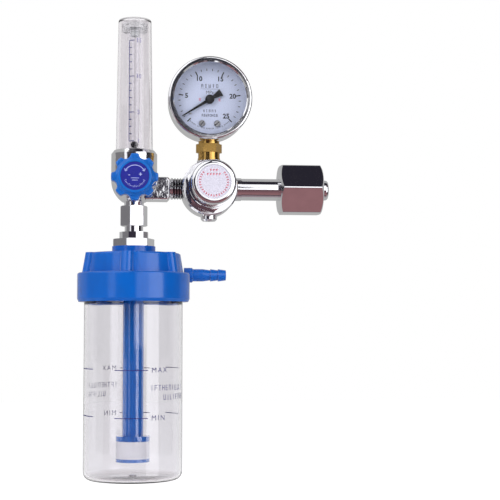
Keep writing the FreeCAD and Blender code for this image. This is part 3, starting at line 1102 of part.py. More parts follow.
keep("diffuser_sleeve", turned("diffuser_sleeve", [
    ("diffuser_rim_r + run_gap", "-sleeve_low"), ("sleeve_r", "-sleeve_low"),
    ("sleeve_r", "-flange_low"), ("diffuser_rim_r + run_gap", "-flange_low"),
], "up", FLOW))
keep("diffuser_base", turned("diffuser_base", [
    ("0", "-sleeve_low - diffuser_plate"), ("diffuser_r", "-sleeve_low - diffuser_plate"),
    ("diffuser_r", "-sleeve_low"), ("diffuser_rim_r", "-sleeve_low"),
    ("diffuser_rim_r", "diffuser_rim - sleeve_low"), ("0", "diffuser_rim - sleeve_low"),
], "up", FLOW))

doc.recompute()
faults = [thing.Name for thing in doc.Objects
          if "Invalid" in thing.State or "Error" in thing.State]
for label, thing in nodes.items():
    if thing.Shape.isNull() or not thing.Shape.isValid() or not thing.Shape.Solids:
        faults.append(label)
if faults:
    raise RuntimeError("not sound: " + ", ".join(faults))

os.makedirs("parts", exist_ok=True)
for label, thing in nodes.items():
    thing.Shape.exportStep("parts/%s.step" % label)
    box = thing.Shape.BoundBox
    print("%-18s %d solids %9.1f mm3  x %.1f %.1f  y %.1f %.1f  z %.1f %.1f" % (
        label, len(thing.Shape.Solids), thing.Shape.Volume, box.XMin, box.XMax,
        box.YMin, box.YMax, box.ZMin, box.ZMax))
print(len(nodes), "nodes")
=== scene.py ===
# Oxygen regulator with its gauge, flowmeter and humidifier bottle: finishes, print,
# studio and camera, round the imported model.
import math
import bmesh
import bpy
from mathutils import Matrix, Vector


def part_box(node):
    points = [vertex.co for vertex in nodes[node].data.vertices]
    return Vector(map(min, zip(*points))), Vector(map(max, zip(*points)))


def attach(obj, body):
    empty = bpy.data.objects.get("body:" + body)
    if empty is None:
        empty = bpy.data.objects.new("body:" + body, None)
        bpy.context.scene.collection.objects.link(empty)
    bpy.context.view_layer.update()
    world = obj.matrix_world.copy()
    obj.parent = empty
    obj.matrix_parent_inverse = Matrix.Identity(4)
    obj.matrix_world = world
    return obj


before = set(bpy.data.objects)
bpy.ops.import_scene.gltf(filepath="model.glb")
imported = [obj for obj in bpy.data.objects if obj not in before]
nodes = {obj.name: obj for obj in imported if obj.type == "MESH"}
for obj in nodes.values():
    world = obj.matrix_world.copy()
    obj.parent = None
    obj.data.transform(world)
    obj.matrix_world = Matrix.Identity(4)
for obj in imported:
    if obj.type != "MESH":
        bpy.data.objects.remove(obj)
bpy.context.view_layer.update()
mm = 0.001
scene = bpy.context.scene
print("loaded", len(nodes), "nodes")

# Where the upright axes and the knob stand
places = {
    "flowX": -118 * mm,      # flowmeter, coupling and bottle
    "bodyX": -68.3 * mm,     # regulator body and gauge
    "knobZ": 5 * mm,
}


# Shader helpers

def tint(red, green, blue):
    # A screen colour, 0 to 255, as the linear colour the shaders take.
    def straight(level):
        level = level / 255
        return level / 12.92 if level <= 0.04045 else ((level + 0.055) / 1.055) ** 2.4
    return (straight(red), straight(green), straight(blue), 1.0)


class Reading:
    # One value in a node tree; sums on it add Math nodes.
    def __init__(self, recipe, socket):
        self.recipe = recipe
        self.socket = socket

    def maths(self, operation, first, second):
        return self.recipe.add("ShaderNodeMath", {"operation": operation}, {0: first, 1: second})

    def __add__(self, other):
        return self.maths("ADD", self, other)

    def __radd__(self, other):
        return self.maths("ADD", other, self)

    def __sub__(self, other):
        return self.maths("SUBTRACT", self, other)

    def __rsub__(self, other):
        return self.maths("SUBTRACT", other, self)

    def __mul__(self, other):
        return self.maths("MULTIPLY", self, other)

    def __rmul__(self, other):
        return self.maths("MULTIPLY", other, self)


class Recipe:
    # A node tree that grows by readings.
    def __init__(self, tree):
        self.tree = tree

    def add(self, kind, settings, values, output=0):
        made = self.tree.nodes.new(kind)
        for key, value in settings.items():
            setattr(made, key, value)
        for key, value in values.items():
            if isinstance(value, Reading):
                self.tree.links.new(value.socket, made.inputs[key])
            else:
                made.inputs[key].default_value = value
        return Reading(self, made.outputs[output])

    def ray(self, kind):
        # 1 where the ray is of that kind, else 0.
        return self.add("ShaderNodeLightPath", {}, {}, "Is %s Ray" % kind)


class Finish(Recipe):
    # A procedural material round one Principled shader.
    def __init__(self, name, color, roughness, metallic=0.0, **fixed):
        self.material = bpy.data.materials.new(name)
        self.material.use_nodes = True
        super().__init__(self.material.node_tree)
        self.shader = self.tree.nodes["Principled BSDF"]
        self.output = self.tree.nodes["Material Output"]
        self.shader.inputs["Base Color"].default_value = color
        self.shader.inputs["Roughness"].default_value = roughness
        self.shader.inputs["Metallic"].default_value = metallic
        for socket, value in fixed.items():
            self.shader.inputs[socket.replace("_", " ")].default_value = value
        self.spot = self.add("ShaderNodeTexCoord", {}, {}, "Object")

    def drive(self, socket, reading):
        self.tree.links.new(reading.socket, self.shader.inputs[socket])

    def stretched(self, scale):
        return self.add("ShaderNodeMapping", {}, {"Vector": self.spot, "Scale": scale})

    def noise(self, size, detail=2.0, roughness=0.5, spot=None):
        # Soft blotches about size metres across, 0 to 1.
        return self.add("ShaderNodeTexNoise", {}, {
            "Vector": spot or self.spot, "Scale": 1 / size, "Detail": detail,
            "Roughness": roughness}, "Fac")

    def spread(self, reading, low, high, start=0.3, end=0.7):
        # start..end of a reading becomes low..high, and no further.
        return self.add("ShaderNodeMapRange", {"clamp": True}, {
            "Value": reading, "From Min": start, "From Max": end, "To Min": low, "To Max": high})

    def mixed(self, share, first, second):
        return self.add("ShaderNodeMix", {"data_type": "RGBA"}, {
            0: share, 6: first, 7: second}, 2)

    def bump(self, height, depth):
        # The height reading, 0 to 1, stands for depth metres.
        self.drive("Normal", self.add("ShaderNodeBump", {}, {
            "Height": height, "Distance": depth, "Strength": 1.0}, "Normal"))


def shaded(color, factor):
    return tuple(c * factor for c in color[:3]) + (1.0,)


# Metals: the size of their cloudy patches and fine grain, and how far the patches darken
metal = {"chrome": (0.90, 0.90, 0.915, 1), "cloud": 9 * mm, "grain": 0.5 * mm, "shade": 0.93}

# Darker in the thread roots of the arm: between two places along X, and no further from the
# arm's middle line than reach
darkThreadRoots = {"start": -93.3 * mm, "end": -84 * mm, "reach": 6.9 * mm, "edge": 0.3 * mm,
              "color": (0.16, 0.155, 0.17, 1)}


def polished(name, color, gloss, haze, rippleDepth, streaks=None, ripple=7 * mm, knots=1.0,
             rootDarkening=None):
    # Plated or polished metal: cloudy gloss, a faint ripple, and turning marks if asked.
    made = Finish(name, color, gloss, 1.0)
    cloud = made.noise(metal["cloud"], 3.0, 0.6)
    fine = made.noise(metal["grain"], 2.0)
    tone = made.mixed(made.spread(cloud, 0, 1), color, shaded(color, metal["shade"]))
    # The thread roots darker, where asked
    if rootDarkening:
        along = made.add("ShaderNodeSeparateXYZ", {}, {"Vector": made.spot}, "X")
        away = made.add("ShaderNodeVectorMath", {"operation": "LENGTH"}, {
            "Vector": made.stretched((0, 1, 1))}, "Value")
        share = (made.spread(along, 0, 1, rootDarkening["start"], rootDarkening["start"] + rootDarkening["edge"])
                 * made.spread(along, 1, 0, rootDarkening["end"], rootDarkening["end"] + rootDarkening["edge"])
                 * made.spread(away, 1, 0, rootDarkening["reach"], rootDarkening["reach"] + rootDarkening["edge"]))
        tone = made.mixed(share * made.spread(fine, 0.7, 1.0), tone, rootDarkening["color"])
    made.drive("Base Color", tone)
    made.drive("Roughness", made.spread(cloud, gloss, gloss + haze) + fine * (haze * 0.4))
    height = made.noise(ripple, knots)
    if streaks:
        lines = made.noise(streaks["pitch"], 2.0, 0.5, made.stretched(streaks["along"]))
        height = height * 0.6 + lines * streaks["share"]
    made.bump(height, rippleDepth)
    return made.material


chrome = polished("chrome", metal["chrome"], 0.045, 0.05, 0.02 * mm)
castChrome = polished("castChrome", metal["chrome"], 0.05, 0.07, 0.16 * mm, ripple=5 * mm,
                      knots=2.0, rootDarkening=darkThreadRoots)
plated = polished("platedBrass", tint(214, 205, 190), 0.12, 0.1, 0.03 * mm)
turnedBrass = polished("turnedBrass", tint(200, 160, 88), 0.13, 0.08, 0.03 * mm,
                       {"pitch": 0.5 * mm, "along": (0.02, 0.02, 1), "share": 0.25})
sheetBrass = polished("sheetBrass", tint(205, 168, 96), 0.25, 0.15, 0.04 * mm)
steel = polished("steel", tint(190, 190, 192), 0.22, 0.15, 0.03 * mm)
springSteel = polished("springSteel", tint(150, 150, 156), 0.28, 0.12, 0.02 * mm)
sintered = Finish("sinteredBronze", tint(150, 112, 66), 0.6, 0.9)
grains = sintered.noise(0.25 * mm, 3.0, 0.7)
sintered.drive("Base Color", sintered.mixed(grains, tint(110, 78, 44), tint(188, 146, 92)))
sintered.drive("Roughness", sintered.spread(grains, 0.45, 0.75))
sintered.bump(grains, 0.12 * mm)


# Moulded plastics, rubber and card

def moulded(name, color, gloss, shade=0.9, blotch=12 * mm, skin=0.3 * mm, skinDepth=0.006 * mm,
            sinkDepth=0.02 * mm, **fixed):
    # Injection moulded plastic: slow sink ripple, a fine skin and uneven gloss.
    made = Finish(name, color, gloss, 0.0, **fixed)
    cloud = made.noise(blotch, 2.0, 0.55)
    fine = made.noise(skin, 3.0, 0.6)
    made.drive("Base Color", made.mixed(made.spread(cloud, 0, 1), color, shaded(color, shade)))
    made.drive("Roughness", made.spread(cloud, gloss * 0.85, gloss * 1.2) + fine * 0.06)
    depth = skinDepth + sinkDepth
    made.bump(fine * (skinDepth / depth) + made.noise(7 * mm, 1.0) * (sinkDepth / depth), depth)
    return made


capBlue = moulded("capBlue", tint(2, 98, 197), 0.13, 0.9, Specular_IOR_Level=0.55).material
knobBlue = moulded("knobBlue", tint(9, 106, 201), 0.18, 0.92, 6 * mm, 0.2 * mm).material
tubeBlue = moulded("tubeBlue", tint(4, 110, 206), 0.10, 0.9, 14 * mm, Specular_IOR_Level=0.6,
                   Coat_Weight=1.0, Coat_IOR=2.1, Coat_Roughness=0.06).material
stopGrey = moulded("stopGrey", tint(222, 226, 226), 0.35, 0.92, 4 * mm).material
pointerBlack = moulded("pointerBlack", tint(24, 24, 26), 0.38, 0.8, 3 * mm).material
discNavy = moulded("discNavy", tint(36, 40, 150), 0.2, 0.86, 5 * mm, 0.2 * mm,
                   Coat_Weight=0.6, Coat_Roughness=0.08).material
floatBlack = moulded("floatBlack", tint(26, 26, 30), 0.12, 0.8, 2 * mm).material
rubber = moulded("rubber", tint(38, 38, 40), 0.62, 0.8, 3 * mm, 0.25 * mm, 0.02 * mm).material
silicone = moulded("silicone", tint(214, 214, 218), 0.5, 0.94, 3 * mm, 0.25 * mm).material
dialWhite = moulded("dialWhite", tint(207, 215, 242), 0.42, 0.975, 9 * mm, 0.15 * mm).material
labelWhite = moulded("labelWhite", tint(220, 217, 233), 0.38, 0.975, 5 * mm, 0.2 * mm).material

porous = Finish("porousWhite", tint(232, 232, 236), 0.7)
beads = porous.add("ShaderNodeTexVoronoi", {"feature": "F1"}, {
    "Vector": porous.spot, "Scale": 1 / (0.45 * mm)}, "Distance")
porous.drive("Base Color", porous.mixed(porous.spread(beads, 0, 1, 0.1, 0.7),
                                        tint(255, 254, 255), tint(243, 242, 250)))
porous.drive("Roughness", porous.spread(beads, 0.6, 0.85, 0.1, 0.7))
porous.bump(1 - beads, 0.08 * mm)


# Clear plastics

def clear(name, color, gloss, index, ripple, rippleDepth, film, foot=None):
    # See-through plastic. Light on its way to what is inside goes straight through, in the
    # film's colour, and what the camera and mirrors see is bent by the wall.
    made = Finish(name, color, gloss, 0.0, IOR=index, Transmission_Weight=1.0)
    cloud = made.noise(ripple, 1.0)
    made.drive("Roughness", made.spread(cloud, gloss * 0.7, gloss * 1.4))
    made.bump(cloud, rippleDepth)
    if foot:
        # Painted shade: below a height the colour darkens, standing in for light lost in the
        # foot's thick walls.
        height = made.add("ShaderNodeSeparateXYZ", {}, {"Vector": made.spot}, "Z")
        made.drive("Base Color", made.mixed(
            made.spread(height, 1, 0, foot["end"], foot["start"]), color, foot["color"]))
    shadow = made.ray("Shadow")
    soft = shadow.maths("MAXIMUM", shadow, made.ray("Diffuse"))
    thin = made.add("ShaderNodeBsdfTransparent", {}, {"Color": film})
    whole = Reading(made, made.shader.outputs[0])
    mix = made.add("ShaderNodeMixShader", {}, {0: soft, 1: whole, 2: thin})
    made.tree.links.new(mix.socket, made.output.inputs["Surface"])
    return made.material


# The bottle's foot is darkened by painted shade, in the colour given last.
bottleClear = clear("bottleClear", (0.855, 0.845, 0.868, 1), 0.02, 1.49, 14 * mm, 0.05 * mm,
                    (0.93, 0.93, 0.94, 1),
                    {"end": -189.6 * mm, "start": -187.2 * mm, "color": (0.60, 0.58, 0.595, 1)})
coverClear = clear("coverClear", (0.84, 0.82, 0.84, 1), 0.02, 1.49, 10 * mm, 0.03 * mm,
                   (0.95, 0.95, 0.95, 1))
tubeClear = clear("tubeClear", (0.97, 0.965, 0.985, 1), 0.015, 1.49, 10 * mm, 0.02 * mm,
                  (0.97, 0.97, 0.97, 1))
holderClear = clear("holderClear", (0.86, 0.88, 0.88, 1), 0.16, 1.45, 5 * mm, 0.03 * mm,
                    (0.8, 0.8, 0.8, 1))
windowClear = clear("windowClear", (0.985, 0.985, 0.99, 1), 0.01, 1.45, 12 * mm, 0.01 * mm,
                    (0.97, 0.97, 0.97, 1))

# Which finish the model's own pieces get
finishes = [
    (chrome, "bonnet bonnet_cap inlet_stem union_nut gauge_case gauge_bezel"
     " coupling_nut humidifier_stem clamp_nut rear_plug relief_cap"),
    (castChrome, "regulator_body flowmeter_body"),
    (plated, "gland_nut inner_nut inner_washer nozzle spindle"),
    (turnedBrass, "gauge_socket"),
    (sheetBrass, "bourdon_tube movement_frame tip_link sector_gear pinion_arbor"),
    (steel, "dial_screws stop_pin diaphragm_plate spring_button"),
    (springSteel, "main_spring poppet_spring relief_spring"),
    (sintered.material, "inlet_filter"),
    (rubber, "diaphragm window_gasket packing poppet relief_disc coupling_washer"),
    (labelWhite, "cap_label"),
    (dialWhite, "gauge_dial"),
    (pointerBlack, "gauge_pointer"),
    (stopGrey, "top_stop ball_stop"),
    (holderClear, "tube_holder"),
    (silicone, "cover_oring tube_seal bottle_gasket"),
    (floatBlack, "float_ball"),
    (knobBlue, "knob"),
    (discNavy, "knob_disc"),
    (capBlue, "humidifier_cap"),
    (tubeBlue, "dip_tube diffuser_top diffuser_base"),
    (porous.material, "diffuser_sleeve"),
    (bottleClear, "bottle"),
    (coverClear, "tube_cover"),
    (tubeClear, "metering_tube"),
    (windowClear, "gauge_window"),
]
dressed = set()
for material, names in finishes:
    for name in names.split():
        dressed.add(name)
        for holder in nodes[name].material_slots:
            holder.material = material
bare = sorted(set(nodes) - dressed)
print("finishes on", len(dressed), "nodes, without one:", bare)


# Printed marks: drawn flat, in metres, across and up, then laid on the part

printGap = 0.01 * mm     # between a face and what is laid on it
# Strokes of the unreadable signs, on the bottle and on the dial, as strokes() takes them
signs = ("lf", "c", "ltm", "ct", "lrm", "ltmf", "lrt", "c", "lrf", "cf")
blocks = ("lrtm", "ctmf", "lrmf", "ctm", "lrtf", "lrm", "ctf", "lrtmf")


def bar(mesh, across, up, wide, tall, turn=0.0, steps=1):
    at = (Matrix.Translation((across, up, 0)) @ Matrix.Rotation(math.radians(turn), 4, "Z")
          @ Matrix.Diagonal((wide, tall, 1, 1)))
    bmesh.ops.create_grid(mesh, x_segments=steps, y_segments=1, size=0.5, matrix=at)


def spoke(mesh, radius, degrees, length, thin):
    # A bar that points away from the middle, its own middle at radius.
    angle = math.radians(degrees)
    bar(mesh, radius * math.cos(angle), radius * math.sin(angle), length, thin, degrees)


def band(mesh, radius, thin, start, end):
    # A bar bent round the middle, from one angle to another, in degrees from across.
    steps = max(2, int(abs(end - start) / 4))
    strip = bmesh.ops.create_grid(mesh, x_segments=steps, y_segments=1, size=0.5)
    for vert in strip["verts"]:
        angle = math.radians(end + (start - end) * (vert.co.x + 0.5))
        reach = radius + vert.co.y * thin
        vert.co = (reach * math.cos(angle), reach * math.sin(angle), 0)


def barred(mesh, across, up, bars):
    # A sign of bars, each given across, up, wide and tall in mm from the sign's place.
    for barAcross, barUp, wide, tall in bars:
        bar(mesh, across + barAcross * mm, up + barUp * mm, wide * mm, tall * mm)


def strokes(mesh, across, up, tall, thin, sign):
    # One unreadable sign: uprights left, centre or right, bars at top, middle or foot.
    wide = tall * 0.45
    for letter, side in (("l", -0.5), ("c", 0), ("r", 0.5)):
        if letter in sign:
            bar(mesh, across + side * wide, up, thin, tall)
    for letter, lift in (("t", 0.5), ("m", 0), ("f", -0.5)):
        if letter in sign:
            bar(mesh, across, up + lift * (tall - thin), wide, thin)


def words(mesh, text, across, up, tall, align="CENTER", bold=0.0, gap=1.0):
    curve = bpy.data.curves.new("words", "FONT")
    curve.body = text
    curve.size = tall * 1.38     # a capital is then as tall as asked
    curve.align_x = align
    curve.align_y = "CENTER"
    curve.offset = bold
    curve.space_character = gap
    curve.resolution_u = 3
    holder = bpy.data.objects.new("words", curve)
    scene.collection.objects.link(holder)
    flat = bpy.data.meshes.new_from_object(
        holder.evaluated_get(bpy.context.evaluated_depsgraph_get()))
    flat.transform(Matrix.Translation((across, up, 0)))
    mesh.from_mesh(flat)
    bpy.data.objects.remove(holder)
    bpy.data.curves.remove(curve)
    bpy.data.meshes.remove(flat)


def pieceOf(name, mesh, material):
    # A new object from a finished mesh, which is used up.
    data = bpy.data.meshes.new(name)
    mesh.to_mesh(data)
    mesh.free()
    piece = bpy.data.objects.new(name, data)
    scene.collection.objects.link(piece)
    piece.data.materials.append(material)
    return piece


def laid(name, mesh, body, material, front=None, around=None, thick=0.03 * mm):
    # Gives the flat marks a thickness and puts them on a face that looks to -Y, at
    # front (x, y, z), or round an upright tube, at around (x, z, radius).
    bmesh.ops.remove_doubles(mesh, verts=mesh.verts[:], dist=1e-7)
    raised = bmesh.ops.extrude_face_region(mesh, geom=mesh.faces[:])
    for item in raised["geom"]:
        if isinstance(item, bmesh.types.BMVert):
            item.co.z += thick
    for vert in mesh.verts:
        across, up, out = vert.co
        if front:
            vert.co = (front[0] + across, front[1] - out, front[2] + up)
        else:
            x, z, radius = around
            angle = across / radius
            vert.co = (x + (radius + out) * math.sin(angle), -(radius + out) * math.cos(angle),
                       z + up)
    bmesh.ops.recalc_face_normals(mesh, faces=mesh.faces[:])
    piece = pieceOf(name, mesh, material)
    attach(piece, body)


def ink(name, color, gloss=0.45):
    # Printing ink that covers a little unevenly.
    made = Finish(name, color, gloss)
    cover = made.noise(0.6 * mm, 2.0, 0.6)
    paler = tuple(min(1, c * 1.18 + 0.01) for c in color[:3]) + (1,)
    made.drive("Base Color", made.mixed(made.spread(cover, 0, 1), color, paler))
    made.drive("Roughness", made.spread(cover, gloss * 0.85, gloss * 1.2))
    made.bump(cover, 0.006 * mm)
    return made.material


inkBlack = ink("inkBlack", tint(14, 14, 22))
inkRed = ink("inkRed", tint(220, 76, 98))
inkGrey = ink("inkGrey", tint(70, 74, 100))
inkViolet = ink("inkViolet", tint(16, 16, 108))
inkSoft = ink("inkSoft", tint(112, 104, 176))
inkPale = ink("inkPale", tint(176, 186, 244))

# Gauge dial: 26 ticks, every fifth one long, numbers inside them and the unit
dial = {"ticks": 26, "every": 5, "first": 225.0, "step": 10.8, "outer": 20.9 * mm,
        "short": 1.5 * mm, "shortThin": 0.44 * mm, "long": 3.1 * mm, "longThin": 0.75 * mm,
        "numbers": [5, 10, 15, 20, 25], "reach": 15.6 * mm, "tall": 3.2 * mm, "bold": 0.13 * mm,
        "unit": "MPa", "unitUp": 4.9 * mm, "unitTall": 2.2 * mm, "unitBold": -0.01 * mm}
dialLow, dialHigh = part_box("gauge_dial")
dialSpot = (places["bodyX"], dialLow.y, (dialLow.z + dialHigh.z) / 2)
marks = bmesh.new()
for count in range(dial["ticks"]):
    size = "short" if count % dial["every"] else "long"
    spoke(marks, dial["outer"] - dial[size] / 2, dial["first"] - dial["step"] * count, dial[size],
          dial[size + "Thin"])
for value in dial["numbers"]:
    angle = math.radians(dial["first"] - dial["step"] * value)
    words(marks, str(value), dial["reach"] * math.cos(angle), dial["reach"] * math.sin(angle),
          dial["tall"], bold=dial["bold"])
words(marks, dial["unit"], 0, dial["unitUp"], dial["unitTall"], bold=dial["unitBold"])
laid("dialMarks", marks, "regulator", inkBlack, front=dialSpot)

# The dial's small print: a ruled row above, two rows below and dashes along the foot
smallPrint = {
    "rows": (
        {"up": 9.2 * mm, "amount": 5, "pitch": 2.5 * mm, "tall": 2.4 * mm, "thin": 0.34 * mm,
         "first": 0},
        {"up": -7.5 * mm, "amount": 5, "pitch": 1.9 * mm, "tall": 1.8 * mm, "thin": 0.28 * mm,
         "first": 5},
        {"up": -10.5 * mm, "amount": 8, "pitch": 1.35 * mm, "tall": 1.8 * mm,
         "thin": 0.28 * mm, "first": 0}),
    "ruleUp": 7.2 * mm, "ruleWide": 12 * mm, "ruleThin": 0.2 * mm,
    "dashes": 34, "gapAfter": 6, "start": 228, "step": 2.6, "reach": 19.4 * mm,
    "lengths": (1.0 * mm, 0.6 * mm, 1.0 * mm, 0.8 * mm), "dashThin": 0.36 * mm}
finePrint = bmesh.new()
bar(finePrint, 0, smallPrint["ruleUp"], smallPrint["ruleWide"], smallPrint["ruleThin"])
for row in smallPrint["rows"]:
    for count in range(row["amount"]):
        strokes(finePrint, (count - (row["amount"] - 1) / 2) * row["pitch"], row["up"],
                row["tall"], row["thin"], blocks[(count + row["first"]) % len(blocks)])
for count in range(smallPrint["dashes"]):
    if count % (smallPrint["gapAfter"] + 1) < smallPrint["gapAfter"]:
        spoke(finePrint, smallPrint["reach"], smallPrint["start"] + count * smallPrint["step"],
              smallPrint["lengths"][count % 4], smallPrint["dashThin"])
laid("dialFinePrint", finePrint, "regulator", inkGrey, front=dialSpot)

# A red sign each side of the pointer
redSign = {"across": 6.5 * mm, "bars": ((0, 0.75, 1.7, 0.26), (0, 0, 1.3, 0.26),
                                        (0, -0.75, 1.7, 0.26), (0, 0, 0.26, 1.5))}
redMarks = bmesh.new()
for side in (-1, 1):
    barred(redMarks, side * redSign["across"], 0, redSign["bars"])
laid("dialRedMarks", redMarks, "regulator", inkRed, front=dialSpot)

# Slots in the heads of the two dial screws
slot = {"turns": (52, 38), "length": 0.8, "thin": 0.5 * mm}     # length as a share of the head
screwLow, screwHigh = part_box("dial_screws")
head = screwHigh.z - screwLow.z
slots = bmesh.new()
for side, turn in zip((-1, 1), slot["turns"]):
    bar(slots, side * (screwHigh.x - screwLow.x - head) / 2, 0, head * slot["length"],
        slot["thin"], turn)
laid("screwSlots", slots, "regulator", inkBlack,
     front=(places["bodyX"], screwLow.y, (screwLow.z + screwHigh.z) / 2))

# Label in the bonnet cap: a ring of plain signs and two short rows
label = {"reach": 8.9 * mm, "amount": 25, "start": 139, "sweep": 262.0,
         "spokes": ((1, 1.25 * mm, 0.32 * mm), (1.04, 0.32 * mm, 1.05 * mm),
                    (0.95, 0.32 * mm, 0.9 * mm)),
         "rows": ((7.4 * mm, 3), (4.8 * mm, 5)), "pitch": 1.9 * mm,
         "bars": ((0, 0, 1.35, 0.32), (-0.3, -0.1, 0.32, 1.35), (0.1, 0.5, 1.1, 0.28))}
labelPrint = bmesh.new()
for count in range(label["amount"]):
    degrees = label["start"] + label["sweep"] * count / (label["amount"] - 1)
    for share, length, thin in label["spokes"]:
        spoke(labelPrint, label["reach"] * share, degrees, length, thin)
for up, amount in label["rows"]:
    for count in range(amount):
        barred(labelPrint, (count - (amount - 1) / 2) * label["pitch"], up, label["bars"])
laid("labelRing", labelPrint, "regulator", inkRed,
     front=(places["bodyX"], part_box("cap_label")[0].y, 0))

# Knob disc: an arc with two arrow heads, plus and minus, two rules and plain ticks
turnPrint = {"reach": 6.9 * mm, "thin": 0.42 * mm, "start": 28, "end": 152,
             "headAt": 64, "headOpen": 38, "headLong": 1.7 * mm, "headThin": 0.4 * mm,
             "headBack": 0.75 * mm, "ticks": 17, "every": 4, "first": 205, "sweep": 130,
             "outer": 7.3 * mm, "long": 1.4 * mm, "short": 0.8 * mm, "tickThin": 0.26 * mm,
             "signAcross": 3.6 * mm, "signUp": 0.8 * mm, "signTall": 3 * mm,
             "signBold": 0.08 * mm, "rules": ((-1.4 * mm, 5.2 * mm), (-2.8 * mm, 3.6 * mm)),
             "ruleThin": 0.3 * mm}
turnMarks = bmesh.new()
band(turnMarks, turnPrint["reach"], turnPrint["thin"], turnPrint["start"], turnPrint["end"])
for side in (-1, 1):
    degrees = 90 + side * turnPrint["headAt"]
    angle = math.radians(degrees)
    tip = Vector((math.cos(angle), math.sin(angle))) * turnPrint["reach"]
    for spread in (-turnPrint["headOpen"], turnPrint["headOpen"]):
        way = math.radians(degrees - side * 90 + spread)
        bar(turnMarks, tip.x + math.cos(way) * turnPrint["headBack"],
            tip.y + math.sin(way) * turnPrint["headBack"], turnPrint["headLong"],
            turnPrint["headThin"], math.degrees(way))
for count in range(turnPrint["ticks"]):
    length = turnPrint["short"] if count % turnPrint["every"] else turnPrint["long"]
    spoke(turnMarks, turnPrint["outer"] - length / 2,
          turnPrint["first"] + count * turnPrint["sweep"] / (turnPrint["ticks"] - 1), length,
          turnPrint["tickThin"])
for side, sign in ((-1, "-"), (1, "+")):
    words(turnMarks, sign, side * turnPrint["signAcross"], turnPrint["signUp"],
          turnPrint["signTall"], bold=turnPrint["signBold"])
for up, wide in turnPrint["rules"]:
    bar(turnMarks, 0, up, wide, turnPrint["ruleThin"])
laid("knobMarks", turnMarks, "knob", inkPale,
     front=(places["flowX"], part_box("knob_disc")[0].y, places["knobZ"]))

# Flow scale on the metering tube: an upright line with a tick for each litre a minute
flow = {"radius": 5.2 * mm, "line": -3.9 * mm, "wide": 0.6 * mm, "low": 31.0 * mm,
        "high": 98.4 * mm, "first": 1, "last": 15, "tick": 0.6 * mm, "short": 1.9 * mm,
        "long": 3.5 * mm, "numbers": [1, 5, 10, 15], "tall": 3.0 * mm, "across": 2.7 * mm,
        "bold": 0.04 * mm}
tubeSpot = (places["flowX"], 0, flow["radius"] + printGap)
scaleMarks = bmesh.new()
scaleNumbers = bmesh.new()
bar(scaleMarks, flow["line"], (flow["low"] + flow["high"]) / 2, flow["wide"],
    flow["high"] - flow["low"])
for value in range(flow["first"], flow["last"] + 1):
    share = (value - flow["first"]) / (flow["last"] - flow["first"])
    up = flow["low"] + (flow["high"] - flow["low"]) * share
    length = flow["long"] if value in flow["numbers"] else flow["short"]
    bar(scaleMarks, flow["line"] + length / 2, up, length, flow["tick"], steps=4)
    if value in flow["numbers"]:
        words(scaleNumbers, str(value), flow["across"], up, flow["tall"], bold=flow["bold"])
laid("flowScale", scaleMarks, "regulator", inkViolet, around=tubeSpot)
laid("flowNumbers", scaleNumbers, "regulator", inkSoft, around=tubeSpot)

# Level marks round the bottle: a line and a word at each level, and between the
# levels two rows of plain strokes; each twice, half a turn apart. Short lines go on
# at the levels, a little higher. Ends, starts and pitch are in degrees.
bottlePrint = {"radius": 32.4 * mm, "levels": (("MAX", -119.5 * mm), ("MIN", -149.8 * mm)),
               "ends": (-22, 16), "line": 0.5 * mm, "word": 20.2, "tall": 3.4 * mm,
               "bold": -0.025 * mm, "gap": 1.35, "arcs": ((-90, -53), (95, 134)),
               "arcLift": 0.6 * mm, "pitch": 5.0, "thin": 0.36 * mm,
               "rows": ({"start": 20.9, "amount": 11, "up": -130.6 * mm},
                        {"start": 37.8, "amount": 8, "up": -136.6 * mm})}
bottleR = bottlePrint["radius"] + printGap


def onBottle(degrees):
    return math.radians(degrees) * bottleR


def levelLine(mesh, start, end, up):
    bar(mesh, onBottle((start + end) / 2), up, onBottle(end - start), bottlePrint["line"],
        steps=20)


levelMarks = bmesh.new()
for turn in (0, 180):
    for word, up in bottlePrint["levels"]:
        start, end = bottlePrint["ends"]
        levelLine(levelMarks, turn + start, turn + end, up)
        words(levelMarks, word, onBottle(turn + bottlePrint["word"]), up, bottlePrint["tall"],
              align="LEFT", bold=bottlePrint["bold"], gap=bottlePrint["gap"])
    for row in bottlePrint["rows"]:
        for count in range(row["amount"]):
            strokes(levelMarks, onBottle(turn + row["start"] + count * bottlePrint["pitch"]),
                    row["up"], bottlePrint["tall"], bottlePrint["thin"],
                    signs[(count + row["amount"]) % len(signs)])
for start, end in bottlePrint["arcs"]:
    for word, up in bottlePrint["levels"]:
        levelLine(levelMarks, start, end, up + bottlePrint["arcLift"])
laid("levelMarks", levelMarks, "bottle", inkViolet,
     around=(places["flowX"], 0, bottleR))
print("printed marks laid")

# Gate mark in the middle of the bottle's floor: a low button, hollow on top
gate = {"radius": 2.6 * mm, "rise": 0.5 * mm, "rim": 0.91 * mm, "hollow": 0.25 * mm,
        "floor": -189.1 * mm}
mark = bmesh.new()
bmesh.ops.create_circle(mark, cap_ends=True, segments=24, radius=gate["radius"])
raised = bmesh.ops.extrude_face_region(mark, geom=mark.faces[:])
bmesh.ops.translate(mark, verts=[v for v in raised["geom"] if isinstance(v, bmesh.types.BMVert)],
                    vec=(0, 0, gate["rise"]))
top = [face for face in mark.faces if face.calc_center_median().z > gate["rise"] * 0.9]
bmesh.ops.inset_region(mark, faces=top, thickness=gate["rim"])
bmesh.ops.translate(mark, verts=list({v for face in top for v in face.verts}),
                    vec=(0, 0, -gate["hollow"]))
bmesh.ops.recalc_face_normals(mark, faces=mark.faces[:])
bmesh.ops.translate(mark, verts=mark.verts[:],
                    vec=(places["flowX"], 0, gate["floor"] + printGap))
gateMark = pieceOf("gateMark", mark, bottleClear)
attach(gateMark, "bottle")

# Studio: a pale floor and white all round, soft lamps, and panels that only mirrors see
studio = {"floorZ": -0.30, "floorSize": 6.0, "floorGlow": (0.58, 0.58, 0.58, 1),
          "sky": 0.52, "mirrored": 0.46, "centre": Vector((-0.09, 0, 0))}


def staged(name, mesh, material):
    piece = pieceOf(name, mesh, material)
    return piece


